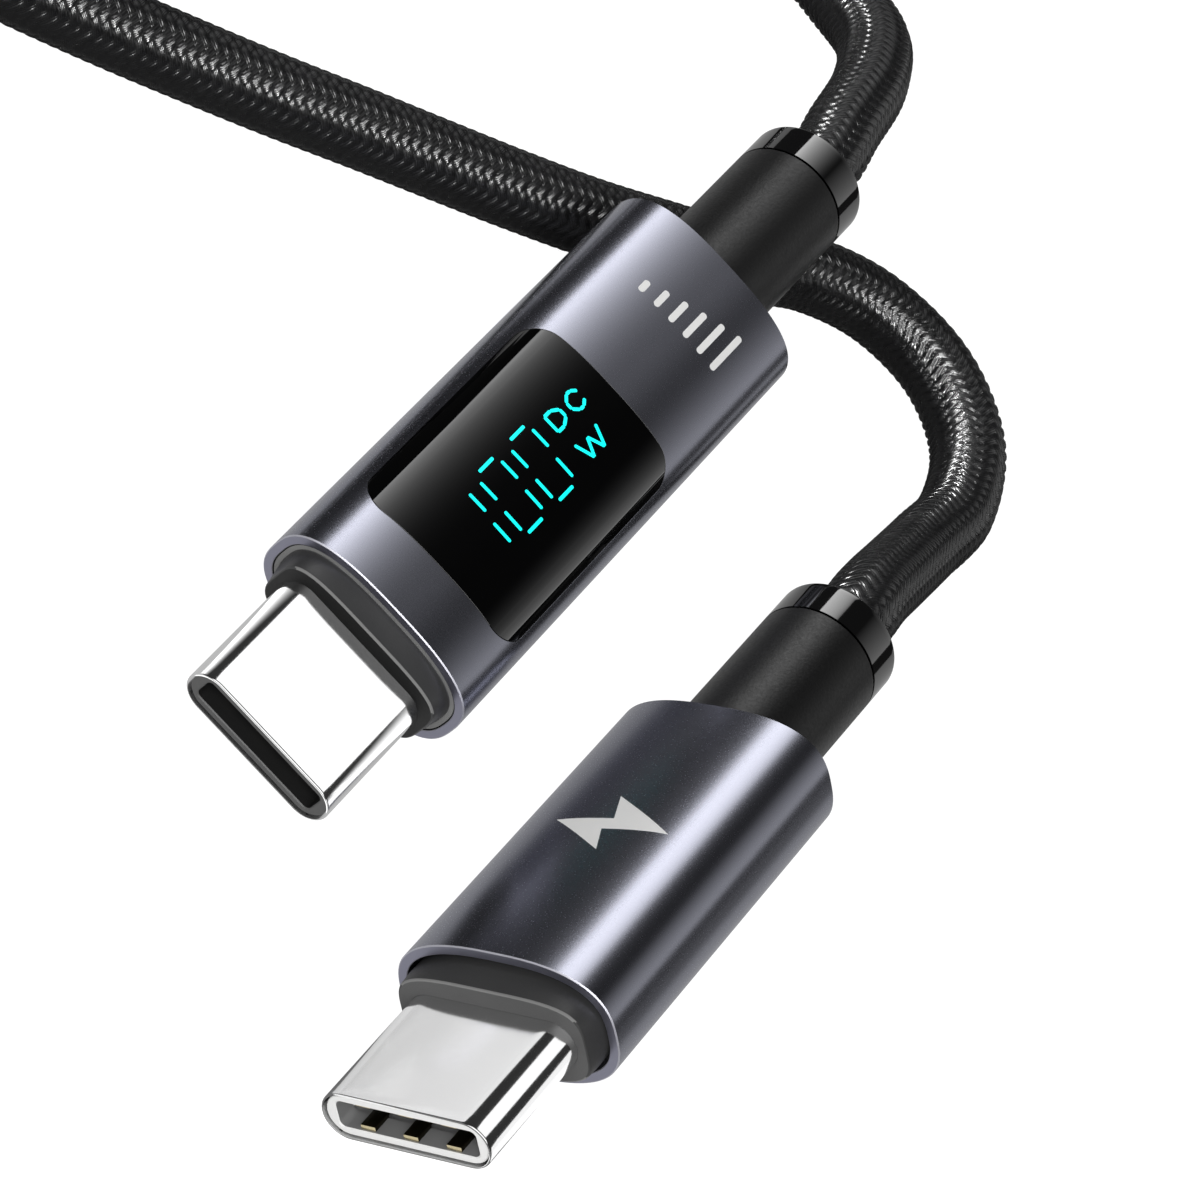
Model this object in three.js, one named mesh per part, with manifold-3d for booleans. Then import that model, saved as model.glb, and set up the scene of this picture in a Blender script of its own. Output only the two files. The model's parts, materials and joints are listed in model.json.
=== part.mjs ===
// A braided USB-C charging cable whose meter head shows the power on a lit display.
// Millimetres, +Z up, resting on z = 0. Each plug is built in its own frame: the mouth's centre is
// the origin, X is its width, Y runs back to the cable and Z is the normal of its upper face.

import * as THREE from 'three';
import * as BufferGeometryUtils from 'three/addons/utils/BufferGeometryUtils.js';
import Module from 'manifold-3d';

const wasm = await Module();
wasm.setup();

// ---- driving dimensions ----

const FIT = 0.05; // gap between seated pieces
const MEET = 0.3; // gap where a cord piece meets the next one

// the standard plug
const SHELL = { halfWidth: 4.125, halfHeight: 1.2, wall: 0.17, back: 10.4 };
const SLOT = { halfWidth: 3.42, halfHeight: 0.66, chamber: 0.8, lipBack: 1.2 };
const INSULATOR = { front: 0.12, back: 7.2 };
const CONTACT = { rows: 12, pitch: 0.5, width: 0.25, low: 0.5, high: 0.62, front: 3.8, back: 9.6 };
const SPRING = { pitch: 2.1, halfWidth: 0.36, barFront: 2.9, barBack: 3.3 };
const LATCH = { halfThickness: 0.1, armInner: 3.46, armOuter: 3.66, front: 1.8, back: 8.1 };

// housings
const SLEEVE_FRONT = 8;
const SLEEVE_WALL = 0.45;
const SLEEVE_CHAMFER = 0.15;
const NOSE = { halfWidth: 4.8, halfHeight: 2.4, frontHalfWidth: 4.6, frontHalfHeight: 2.1, exponent: 2.8,
  front: 6.85, taperBack: 8.1, back: 11.7 };
const METER_SLEEVE = { halfWidth: 5.57, halfHeight: 3.09, exponent: 2.75, back: 36.05 };
const FAR_SLEEVE = { halfWidth: 5.36, halfHeight: 3.2, exponent: 2.7, back: 26.9 };
const WINDOW = { halfWidth: 4.62, front: 11.35, back: 25.6, corner: 1 };

// boots and cable
const CABLE_RADIUS = 1.9;
const BOOT = { radius: 3.05, length: 8.4, collar: 2.05, flange: 2.45, wireBore: 1.3, tailFrom: 0.5 };
const CRIMP = { radius: 2.3, from: 0.9, length: 2.6 };
const BOARD_HALF = 0.45;

// where the plugs lie
const METER_PITCH = 6.5; // degrees: the nose rests low, the boot rides over the cable
const FAR_TURN = { roll: -51.3, pitch: 2.4, yaw: -1.25 }; // degrees
const FAR_AT = { x: 14.78, y: -33.76 };

// the coil: three columns of turns in two layers, and an outer part turn
const COIL = { x: -58.5, y: 14.67, outerTurn: 25.7, low: 2.75, high: 6.6, lastTurn: 29.65 };
const COIL_OUTSIDE = { inner: 16.1, outer: 27.4, bottom: 0.85, top: 8.45, chamfer: 1.2, clear: 0.25 };
const TIE = { width: 9, thickness: 0.8, inner: 15.3 };

// free cable from the meter head to the coil, and from the coil to the far plug
const METER_ROUTE = [
  [-0.4, 27.5, 7.7], [-0.9, 32, 7.3], [-2.2, 36.2, 6.1], [-4.9, 39.3, 4.2], [-8.6, 41.5, 2.8],
  [-12.9, 42.9, 2.1], [-17.4, 43.6, 1.95], [-21.9, 43.7, 2], [-26.5, 43.3, 2.1], [-31, 42.7, 2.2],
  [-35.4, 42, 2.4], [-39.9, 41.2, 2.5]
];
const FAR_ROUTE = [
  [-37.9, -7.1, 2.7], [-34.3, -4.6, 2.6], [-30.6, -2.2, 2.4], [-27, 0.3, 2.2], [-23.4, 2.9, 2.05],
  [-19.9, 5.4, 2], [-16.3, 8.1, 1.95], [-12.8, 10.6, 1.95], [-9.2, 13.2, 1.95], [-5.7, 15.9, 1.95],
  [-2.4, 18.8, 1.95], [0.9, 21.7, 1.95], [3.8, 25, 1.95], [7.6, 27.1, 2], [11.9, 26.8, 2.4],
  [15.4, 24.3, 2.6], [17, 20.3, 2.6], [16.7, 16, 3.1], [16.2, 11.8, 4.4], [15.7, 7.7, 5.8]
];

// ---- finishes ----

const FINISHES = {
  sleeve: { color: 0x484854, roughness: 0.38, metalness: 0.9 },
  nickel: { color: 0xd8d8da, roughness: 0.12, metalness: 1 },
  gold: { color: 0xd9b25a, roughness: 0.25, metalness: 1 },
  steel: { color: 0xa8abb0, roughness: 0.35, metalness: 1 },
  copper: { color: 0xb4723c, roughness: 0.35, metalness: 1 },
  darkPlastic: { color: 0x3a3a3c, roughness: 0.6, metalness: 0 },
  insulator: { color: 0x4a4a4c, roughness: 0.5, metalness: 0 },
  paleInsulator: { color: 0xd8d8d6, roughness: 0.5, metalness: 0 },
  board: { color: 0x1d4a33, roughness: 0.45, metalness: 0.1 },
  chip: { color: 0x161618, roughness: 0.5, metalness: 0 },
  window: { color: 0x050506, roughness: 0.06, metalness: 0 },
  display: { color: 0xe8ecec, roughness: 0.6, metalness: 0 },
  boot: { color: 0x2b2b2b, roughness: 0.7, metalness: 0 },
  collar: { color: 0x0c0c0d, roughness: 0.12, metalness: 0 },
  braid: { color: 0x151516, roughness: 0.6, metalness: 0 },
  tie: { color: 0x1c1c1e, roughness: 0.9, metalness: 0 },
  red: { color: 0xa52222, roughness: 0.5, metalness: 0 },
  black: { color: 0x1a1a1a, roughness: 0.5, metalness: 0 },
  blue: { color: 0x2a4c9a, roughness: 0.5, metalness: 0 },
  white: { color: 0xd0d0cc, roughness: 0.5, metalness: 0 }
};

// ---- shapes ----

function superellipse(halfWidth, halfHeight, exponent, steps = 36) {
  const power = 2 / exponent;
  return Array.from({ length: steps }, (_, i) => {
    const angle = (2 * Math.PI * i) / steps;
    const c = Math.cos(angle);
    const s = Math.sin(angle);
    return new THREE.Vector2(
      halfWidth * Math.sign(c) * Math.abs(c) ** power,
      halfHeight * Math.sign(s) * Math.abs(s) ** power
    );
  });
}

function roundedRectangle(left, right, bottom, top, radius, steps = 6) {
  const corners = [
    [right - radius, top - radius, 0],
    [left + radius, top - radius, 1],
    [left + radius, bottom + radius, 2],
    [right - radius, bottom + radius, 3]
  ];
  return corners.flatMap(([x, y, quarter]) =>
    Array.from({ length: steps + 1 }, (_, i) => {
      const angle = ((quarter + i / steps) * Math.PI) / 2;
      return new THREE.Vector2(x + radius * Math.cos(angle), y + radius * Math.sin(angle));
    })
  );
}

// a rectangle whose two short sides are half circles
function stadium(halfWidth, halfHeight) {
  return roundedRectangle(-halfWidth, halfWidth, -halfHeight, halfHeight, halfHeight - 0.001);
}

// an outline in X and Z, run along Y from front to back
function prism(outline, front, back, { chamfer = 0, holes = [] } = {}) {
  const shape = new THREE.Shape(outline);
  shape.holes = holes.map((hole) => new THREE.Path(hole));
  const geometry = new THREE.ExtrudeGeometry(shape, {
    depth: back - front - 2 * chamfer,
    bevelEnabled: chamfer > 0,
    bevelThickness: chamfer,
    bevelSize: chamfer,
    bevelOffset: -chamfer,
    bevelSegments: 1
  });
  geometry.rotateX(Math.PI / 2);
  return geometry.translate(0, back - chamfer, 0);
}

// an outline in X and Y, run up from low to high
function plate(outline, low, high) {
  const shape = new THREE.Shape(outline);
  const geometry = new THREE.ExtrudeGeometry(shape, { depth: high - low, bevelEnabled: false });
  return geometry.translate(0, 0, low);
}

function box(left, right, front, back, low, high) {
  const geometry = new THREE.BoxGeometry(right - left, back - front, high - low);
  return geometry.translate((left + right) / 2, (front + back) / 2, (low + high) / 2);
}

function rod(radius, front, back, sides = 20) {
  const geometry = new THREE.CylinderGeometry(radius, radius, back - front, sides);
  return geometry.translate(0, (front + back) / 2, 0);
}

// a ring about Y whose outer edges are chamfered
function ring(inner, outer, front, back, chamfer, sides = 28) {
  const section = [
    [inner, front],
    [outer - chamfer, front],
    [outer, front + chamfer],
    [outer, back - chamfer],
    [outer - chamfer, back],
    [inner, back],
    [inner, front]
  ];
  return new THREE.LatheGeometry(section.map(([x, y]) => new THREE.Vector2(x, y)), sides);
}

// a round cable, wire or twin lead along a smooth curve through the points
function tube(points, section, steps) {
  const path = new THREE.CatmullRomCurve3(points, false, 'centripetal');
  const shape = new THREE.Shape(section);
  return new THREE.ExtrudeGeometry(shape, { steps, extrudePath: path });
}

// ---- booleans ----

function solid(geometry) {
  const bare = geometry.clone();
  bare.deleteAttribute('normal');
  bare.deleteAttribute('uv');
  const merged = BufferGeometryUtils.mergeVertices(bare, 1e-4);
  return new wasm.Manifold(
    new wasm.Mesh({
      numProp: 3,
      vertProperties: new Float32Array(merged.attributes.position.array),
      triVerts: new Uint32Array(merged.index.array)
    })
  );
}

function geometryOf(manifold) {
  const mesh = manifold.getMesh();
  const geometry = new THREE.BufferGeometry();
  geometry.setAttribute('position', new THREE.BufferAttribute(mesh.vertProperties, 3));
  geometry.setIndex(new THREE.BufferAttribute(mesh.triVerts, 1));
  geometry.computeVertexNormals();
  return geometry;
}

function join(...geometries) {
  return geometryOf(geometries.map(solid).reduce((all, next) => all.add(next)));
}

function cut(geometry, ...tools) {
  return geometryOf(tools.map(solid).reduce((left, tool) => left.subtract(tool), solid(geometry)));
}

function common(first, second) {
  return geometryOf(solid(first).intersect(solid(second)));
}

function addPiece(group, name, geometry, finish) {
  const mesh = new THREE.Mesh(geometry, new THREE.MeshStandardMaterial(FINISHES[finish]));
  mesh.name = name;
  group.add(mesh);
}

// ---- the standard plug, the same at both ends ----

function insulatorBody() {
  const body = prism(stadium(SHELL.halfWidth - SHELL.wall - FIT, SHELL.halfHeight - SHELL.wall - FIT),
    INSULATOR.front, INSULATOR.back);
  const mouth = prism(
    roundedRectangle(-SLOT.halfWidth, SLOT.halfWidth, -SLOT.halfHeight, SLOT.halfHeight, 0.25, 3),
    -1, INSULATOR.back + 1);
  const chamberHalf = SLOT.halfWidth - 0.1;
  const chamber = box(-chamberHalf, chamberHalf, SLOT.lipBack, INSULATOR.back + 1,
    -SLOT.chamber, SLOT.chamber);
  const armSlots = box(-LATCH.armOuter - FIT, LATCH.armOuter + FIT, LATCH.front - FIT,
    INSULATOR.back + 1, -LATCH.halfThickness - FIT, LATCH.halfThickness + FIT);
  return cut(body, mouth, chamber, armSlots);
}

// blades side by side, joined by one bar; side is 1 for the upper row and -1 for the lower
function contactRow(side) {
  const low = Math.min(side * CONTACT.low, side * CONTACT.high);
  const high = Math.max(side * CONTACT.low, side * CONTACT.high);
  const halfSpan = ((CONTACT.rows - 1) * CONTACT.pitch) / 2;
  const half = CONTACT.width / 2;
  const blades = Array.from({ length: CONTACT.rows }, (_, i) => {
    const x = i * CONTACT.pitch - halfSpan;
    return box(x - half, x + half, CONTACT.front, CONTACT.back, low, high);
  });
  const bar = box(-halfSpan - half, halfSpan + half, INSULATOR.back - 1, INSULATOR.back - 0.6, low, high);
  return join(bar, ...blades);
}

function emiSpring(side, front) {
  const low = Math.min(side * CONTACT.low, side * CONTACT.high);
  const high = Math.max(side * CONTACT.low, side * CONTACT.high);
  const fingers = [-1, 0, 1].map((i) => {
    const x = i * SPRING.pitch;
    return box(x - SPRING.halfWidth, x + SPRING.halfWidth, front, SPRING.barBack, low, high);
  });
  const reach = SPRING.pitch + SPRING.halfWidth;
  return join(box(-reach, reach, SPRING.barFront, SPRING.barBack, low, high), ...fingers);
}

function latchPlate() {
  const base = box(-LATCH.armOuter, LATCH.armOuter, INSULATOR.back + 0.2, LATCH.back,
    -LATCH.halfThickness, LATCH.halfThickness);
  const arms = [-1, 1].flatMap((side) => {
    const inner = side * LATCH.armInner;
    const outer = side * LATCH.armOuter;
    const hook = side * (LATCH.armInner - 0.25);
    const [left, right] = [Math.min(inner, outer), Math.max(inner, outer)];
    return [
      box(left, right, LATCH.front, LATCH.back, -LATCH.halfThickness, LATCH.halfThickness),
      box(Math.min(hook, outer), Math.max(hook, outer), LATCH.front, LATCH.front + 0.5,
        -LATCH.halfThickness, LATCH.halfThickness)
    ];
  });
  return join(base, ...arms);
}

function frontInsert(sleeve, ledge) {
  const nose = prism(superellipse(NOSE.halfWidth, NOSE.halfHeight, NOSE.exponent), NOSE.taperBack,
    NOSE.back);
  const flange = prism(sleeveInside(sleeve, FIT), ledge, NOSE.back - 0.3);
  const bore = prism(stadium(SHELL.halfWidth + FIT, SHELL.halfHeight + FIT), 0, NOSE.back + 1);
  return cut(join(nose, noseTaper(), flange), bore);
}

// the nose narrows towards the mouth
function noseTaper() {
  const geometry = prism(superellipse(NOSE.halfWidth, NOSE.halfHeight, NOSE.exponent), NOSE.front,
    NOSE.taperBack);
  const position = geometry.attributes.position;
  for (let i = 0; i < position.count; i += 1) {
    if (position.getY(i) < (NOSE.front + NOSE.taperBack) / 2) {
      position.setX(i, position.getX(i) * (NOSE.frontHalfWidth / NOSE.halfWidth));
      position.setZ(i, position.getZ(i) * (NOSE.frontHalfHeight / NOSE.halfHeight));
    }
  }
  return geometry;
}

function sleeveInside(sleeve, inset) {
  const less = SLEEVE_WALL + inset;
  return superellipse(sleeve.halfWidth - less, sleeve.halfHeight - less, sleeve.exponent);
}

function sleeveOutside(sleeve) {
  return superellipse(sleeve.halfWidth, sleeve.halfHeight, sleeve.exponent);
}

function addPlugFront(group, prefix, sleeve, { insulator, springFront, ledge }) {
  const shellHole = stadium(SHELL.halfWidth - SHELL.wall, SHELL.halfHeight - SHELL.wall);
  const shell = prism(stadium(SHELL.halfWidth, SHELL.halfHeight), 0, SHELL.back, { holes: [shellHole] });
  addPiece(group, `${prefix}_plug_shell`, shell, 'nickel');
  addPiece(group, `${prefix}_plug_insulator`, insulatorBody(), insulator);
  addPiece(group, `${prefix}_contacts_upper`, contactRow(1), 'gold');
  addPiece(group, `${prefix}_contacts_lower`, contactRow(-1), 'gold');
  addPiece(group, `${prefix}_emi_spring_upper`, emiSpring(1, springFront), 'gold');
  addPiece(group, `${prefix}_emi_spring_lower`, emiSpring(-1, springFront), 'gold');
  addPiece(group, `${prefix}_latch_plate`, latchPlate(), 'steel');
  addPiece(group, `${prefix}_front_insert`, frontInsert(sleeve, ledge), 'darkPlastic');
}

// ---- the cable's end, the same at both plugs ----

function strainRelief(sleeve) {
  const back = sleeve.back;
  const flange = prism(sleeveInside(sleeve, FIT), back - BOOT.flange, back + FIT);
  const post = rod(BOOT.radius, back + FIT, back + BOOT.length, 28);
  const tailBore = rod(CABLE_RADIUS + FIT, back + BOOT.tailFrom - FIT, back + BOOT.length + 1);
  const crimpBore = rod(CRIMP.radius + FIT, back + CRIMP.from - FIT, back + CRIMP.from + CRIMP.length + FIT);
  const wireBore = rod(BOOT.wireBore, back - BOOT.flange - 1, back + BOOT.length);
  return cut(join(flange, post), tailBore, crimpBore, wireBore);
}

// the four conductors run from the board's edge to the cable's cut end
function addWires(group, prefix, sleeve, boardBack, boardHalfWidth) {
  const end = sleeve.back + BOOT.tailFrom - FIT;
  const flangeFront = sleeve.back - BOOT.flange;
  const wires = [
    ['supply_wire', -1, 1, 0.36, 'red'],
    ['ground_wire', 1, 1, 0.36, 'black'],
    ['sense_wire', -1, -1, 0.26, 'blue'],
    ['data_pair', 1, -1, 0.3, 'white']
  ];
  for (const [name, sideX, sideZ, radius, finish] of wires) {
    const padX = sideX * boardHalfWidth;
    const padZ = sideZ * (BOARD_HALF + FIT + radius);
    const coreX = sideX * 0.5;
    const coreZ = sideZ * 0.5;
    const points = [
      new THREE.Vector3(padX, boardBack - 1.2, padZ),
      new THREE.Vector3(padX, boardBack + 0.1, padZ),
      new THREE.Vector3(coreX, flangeFront - 0.3, coreZ),
      new THREE.Vector3(coreX, end, coreZ)
    ];
    addPiece(group, `${prefix}_${name}`, tube(points, superellipse(radius, radius, 2, 8), 6), finish);
  }
}

function addCableEnd(group, prefix, sleeve) {
  const back = sleeve.back;
  const bootBack = back + BOOT.length;
  const collarBack = bootBack + BOOT.collar;
  addPiece(group, `${prefix}_strain_relief`, strainRelief(sleeve), 'boot');
  const collar = ring(CABLE_RADIUS + FIT, BOOT.radius, bootBack + FIT, collarBack, 0.1);
  addPiece(group, `${prefix}_boot_collar`, collar, 'collar');
  const crimpFront = back + CRIMP.from;
  const crimp = ring(CABLE_RADIUS + FIT, CRIMP.radius, crimpFront, crimpFront + CRIMP.length, 0.1);
  addPiece(group, `${prefix}_crimp_ring`, crimp, 'copper');
  const tail = rod(CABLE_RADIUS, back + BOOT.tailFrom, collarBack);
  addPiece(group, `${prefix}_cable_tail`, tail, 'braid');
  return collarBack;
}

// ---- the meter head ----

const METER_BOARD = { neck: 3.3, neckFront: 8.3, neckBack: 11.75, halfWidth: 4.1, back: 32.6 };
const DISPLAY = { halfWidth: 3.2, front: 12.6, back: 24.4, low: 0.5, top: 1.95 };
const CHASSIS = { front: 11.8, back: 31 };

function meterSleeve() {
  const body = prism(sleeveOutside(METER_SLEEVE), SLEEVE_FRONT, METER_SLEEVE.back,
    { chamfer: SLEEVE_CHAMFER, holes: [sleeveInside(METER_SLEEVE, 0)] });
  return cut(body, plate(windowOutline(0), 0, 5));
}

function windowOutline(inset) {
  const half = WINDOW.halfWidth - inset;
  return roundedRectangle(-half, half, WINDOW.front + inset, WINDOW.back - inset, WINDOW.corner);
}

function displayWindow() {
  const outer = prism(sleeveOutside(METER_SLEEVE), SLEEVE_FRONT, METER_SLEEVE.back);
  const cavity = prism(sleeveInside(METER_SLEEVE, 0), SLEEVE_FRONT - 1, METER_SLEEVE.back + 1);
  return cut(common(outer, plate(windowOutline(FIT), 0, 5)), cavity);
}

function meterBoard() {
  const { neck, neckFront, neckBack, halfWidth, back } = METER_BOARD;
  const outline = [
    [-neck, neckFront], [neck, neckFront], [neck, neckBack], [halfWidth, neckBack],
    [halfWidth, back], [-halfWidth, back], [-halfWidth, neckBack], [-neck, neckBack]
  ].map(([x, y]) => new THREE.Vector2(x, y));
  return plate(outline, -BOARD_HALF, BOARD_HALF);
}

function chassisUpper() {
  const fill = prism(sleeveInside(METER_SLEEVE, 0.1), CHASSIS.front, CHASSIS.back);
  const above = box(-6, 6, 0, 40, BOARD_HALF + FIT, 6);
  const bay = box(-DISPLAY.halfWidth - 0.1, DISPLAY.halfWidth + 0.1, DISPLAY.front - 0.1,
    DISPLAY.back + 0.1, -1, 6);
  return cut(common(fill, above), bay);
}

function chassisLower() {
  const fill = prism(sleeveInside(METER_SLEEVE, 0.1), CHASSIS.front, CHASSIS.back);
  const below = box(-6, 6, 0, 40, -6, -BOARD_HALF - FIT);
  const chipBay = box(-2.4, 2.4, 12.6, 27, -1.7, 1);
  return cut(common(fill, below), chipBay);
}

function addMeterInside(group) {
  const under = -BOARD_HALF - FIT;
  addPiece(group, 'meter_main_board', meterBoard(), 'board');
  addPiece(group, 'meter_controller_chip', box(-1.9, 1.9, 13.2, 17, under - 0.85, under), 'chip');
  addPiece(group, 'meter_marker_chip', box(-1.1, 1.1, 18.6, 20.8, under - 0.6, under), 'chip');
  addPiece(group, 'meter_shunt_resistor', box(-1.6, 1.6, 22.4, 24, under - 0.6, under), 'chip');
  const module = box(-DISPLAY.halfWidth, DISPLAY.halfWidth, DISPLAY.front, DISPLAY.back,
    DISPLAY.low, DISPLAY.top);
  addPiece(group, 'meter_display_module', module, 'display');
  const film = box(-DISPLAY.halfWidth, DISPLAY.halfWidth, DISPLAY.front, DISPLAY.back,
    DISPLAY.top + FIT, DISPLAY.top + FIT + 0.1);
  addPiece(group, 'meter_diffuser_film', film, 'display');
  addPiece(group, 'meter_chassis_upper', chassisUpper(), 'darkPlastic');
  addPiece(group, 'meter_chassis_lower', chassisLower(), 'darkPlastic');
}

const meter = new THREE.Group();
addPlugFront(meter, 'meter', METER_SLEEVE, { insulator: 'insulator', springFront: 1.5, ledge: 8.15 });
addPiece(meter, 'meter_sleeve', meterSleeve(), 'sleeve');
addPiece(meter, 'meter_display_window', displayWindow(), 'window');
addMeterInside(meter);
addWires(meter, 'meter', METER_SLEEVE, METER_BOARD.back, 1.6);
const meterExit = addCableEnd(meter, 'meter', METER_SLEEVE);

// ---- the far plug ----

const FAR_BOARD = { halfWidth: 3.3, front: 8.3, back: 14.6 };
const INNER_MOULD = { front: 15.8, back: 23.6, bore: 2 };

const farPlug = new THREE.Group();
addPlugFront(farPlug, 'far', FAR_SLEEVE, { insulator: 'paleInsulator', springFront: 0.22, ledge: 9.5 });
const farSleeve = prism(sleeveOutside(FAR_SLEEVE), SLEEVE_FRONT, FAR_SLEEVE.back,
  { chamfer: SLEEVE_CHAMFER, holes: [sleeveInside(FAR_SLEEVE, 0)] });
addPiece(farPlug, 'far_sleeve', farSleeve, 'sleeve');
const farBoard = box(-FAR_BOARD.halfWidth, FAR_BOARD.halfWidth, FAR_BOARD.front, FAR_BOARD.back,
  -BOARD_HALF, BOARD_HALF);
addPiece(farPlug, 'far_board', farBoard, 'board');
const farChip = box(-1.1, 1.1, 10.8, 12.8, BOARD_HALF + FIT, BOARD_HALF + FIT + 0.6);
addPiece(farPlug, 'far_marker_chip', farChip, 'chip');
const mould = cut(prism(sleeveInside(FAR_SLEEVE, 0.1), INNER_MOULD.front, INNER_MOULD.back),
  rod(INNER_MOULD.bore, 0, 40));
addPiece(farPlug, 'far_inner_mould', mould, 'darkPlastic');
addWires(farPlug, 'far', FAR_SLEEVE, FAR_BOARD.back, 1.2);
const farExit = addCableEnd(farPlug, 'far', FAR_SLEEVE);

// ---- both plugs on the surface ----

function restOnSurface(group, x, y) {
  group.position.set(x, y, 0);
  const extent = new THREE.Box3().setFromObject(group, true);
  group.position.z = -extent.min.z;
  group.updateMatrixWorld(true);
}

// the meter head's box is centred on the origin
meter.rotation.x = THREE.MathUtils.degToRad(METER_PITCH);
const meterBox = new THREE.Box3().setFromObject(meter, true);
restOnSurface(meter, 0, -(meterBox.min.y + meterBox.max.y) / 2);

farPlug.rotation.order = 'ZXY';
farPlug.rotation.set(
  THREE.MathUtils.degToRad(FAR_TURN.pitch),
  THREE.MathUtils.degToRad(FAR_TURN.roll),
  THREE.MathUtils.degToRad(FAR_TURN.yaw)
);
restOnSurface(farPlug, FAR_AT.x, FAR_AT.y);

// ---- the cord ----

const cable = superellipse(CABLE_RADIUS, CABLE_RADIUS, 2, 8);

function routePoints(rows) {
  return rows.map(([x, y, z]) => new THREE.Vector3(x, y, z));
}

function behind(group, exit, distance) {
  return group.localToWorld(new THREE.Vector3(0, exit + distance, 0));
}

function coilPoint(degrees, radius, height) {
  const angle = THREE.MathUtils.degToRad(degrees);
  return new THREE.Vector3(
    COIL.x + radius * Math.cos(angle),
    COIL.y + radius * Math.sin(angle),
    height
  );
}

// the outside of all the full turns, grown by a clearance
function coilRing(grow) {
  const geometry = ring(COIL_OUTSIDE.inner - grow, COIL_OUTSIDE.outer + grow,
    COIL_OUTSIDE.bottom - grow, COIL_OUTSIDE.top + grow, COIL_OUTSIDE.chamfer, 44);
  geometry.rotateX(Math.PI / 2);
  return geometry.translate(COIL.x, COIL.y, 0);
}

// the straight line that touches the outer turn at its back, where the cable comes in
function onBackTangent(degrees) {
  const radius = COIL.outerTurn / Math.sin(THREE.MathUtils.degToRad(degrees));
  return coilPoint(degrees, radius, COIL.low);
}

// the outermost turn comes down round the corner of the coil, then follows it on the surface
function lastTurn() {
  const down = [0, 0.25, 0.5, 0.75, 1].map((part) => {
    const drop = (part * Math.PI) / 2;
    const reach = COIL.lastTurn - COIL.outerTurn;
    const radius = COIL.outerTurn + reach * Math.sin(drop);
    const height = COIL.low + (COIL.high - COIL.low) * Math.cos(drop);
    return coilPoint(95 + 45 * part, radius, height);
  });
  const along = Array.from({ length: 10 }, (_, i) => {
    return coilPoint(155 + (150 * i) / 9, COIL.lastTurn, COIL.low);
  });
  return [...down, ...along];
}

const cord = new THREE.Group();
const coilClear = coilRing(COIL_OUTSIDE.clear);

const meterCord = [
  behind(meter, meterExit, MEET),
  behind(meter, meterExit, 2),
  ...routePoints(METER_ROUTE),
  onBackTangent(60),
  onBackTangent(75)
];
addPiece(cord, 'cable_meter_end', cut(tube(meterCord, cable, 28), coilClear), 'braid');

addPiece(cord, 'cable_coil', coilRing(0), 'braid');

const farCord = [
  ...lastTurn(),
  ...routePoints(FAR_ROUTE),
  behind(farPlug, farExit, 2),
  behind(farPlug, farExit, MEET)
];
addPiece(cord, 'cable_far_end', cut(tube(farCord, cable, 50), coilClear), 'braid');

// a strap loop round the coil's turns, across the radius at the given angle
function coilTie(degrees, inside, outside) {
  const shape = new THREE.Shape(outside.map(([x, y]) => new THREE.Vector2(x, y)));
  shape.holes = [new THREE.Path(inside.map(([x, y]) => new THREE.Vector2(x, y)))];
  const geometry = new THREE.ExtrudeGeometry(shape, { depth: TIE.width, bevelEnabled: false });
  geometry.translate(0, 0, -TIE.width / 2);
  geometry.rotateX(Math.PI / 2);
  geometry.rotateZ(THREE.MathUtils.degToRad(degrees));
  return geometry.translate(COIL.x, COIL.y, 0);
}

const tieTop = COIL_OUTSIDE.top + 0.1;
const tieOuter = COIL_OUTSIDE.outer + 0.1;
const wrap = TIE.thickness;
const nearInside = [
  [TIE.inner, wrap], [tieOuter, wrap], [tieOuter, tieTop], [TIE.inner, tieTop]
];
const nearOutside = [
  [TIE.inner - wrap, 0], [tieOuter + wrap, 0], [tieOuter + wrap, tieTop + wrap],
  [TIE.inner - wrap, tieTop + wrap]
];
addPiece(cord, 'coil_tie_near', coilTie(12, nearInside, nearOutside), 'tie');

// this one also holds the outer part turn, so it slopes down over it
const turnEdge = COIL.lastTurn + CABLE_RADIUS + 0.1;
const turnTop = COIL.low + CABLE_RADIUS + 0.1;
const farInside = [
  [TIE.inner, wrap], [turnEdge, wrap], [turnEdge, turnTop], [tieOuter + 0.3, tieTop], [TIE.inner, tieTop]
];
const farOutside = [
  [TIE.inner - wrap, 0], [turnEdge + wrap, 0], [turnEdge + wrap, turnTop + 0.2],
  [tieOuter + 0.7, tieTop + wrap], [TIE.inner - wrap, tieTop + wrap]
];
addPiece(cord, 'coil_tie_far', coilTie(195, farInside, farOutside), 'tie');

const object = new THREE.Group();
object.add(meter, farPlug, cord);

export default object;
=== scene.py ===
"""Looks of the usb power meter: a braided cable, its meter head with a lit display, and its far plug.

Lengths are in millimetres in each plug's own frame (mouth centre at the origin, X across, Y back to the
cable, Z out of the upper face) until mesh_object() places them in the row frame, in metres.
"""

import json
import math

import bmesh
import bpy
import numpy as np
from mathutils import Matrix, Vector

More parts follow.
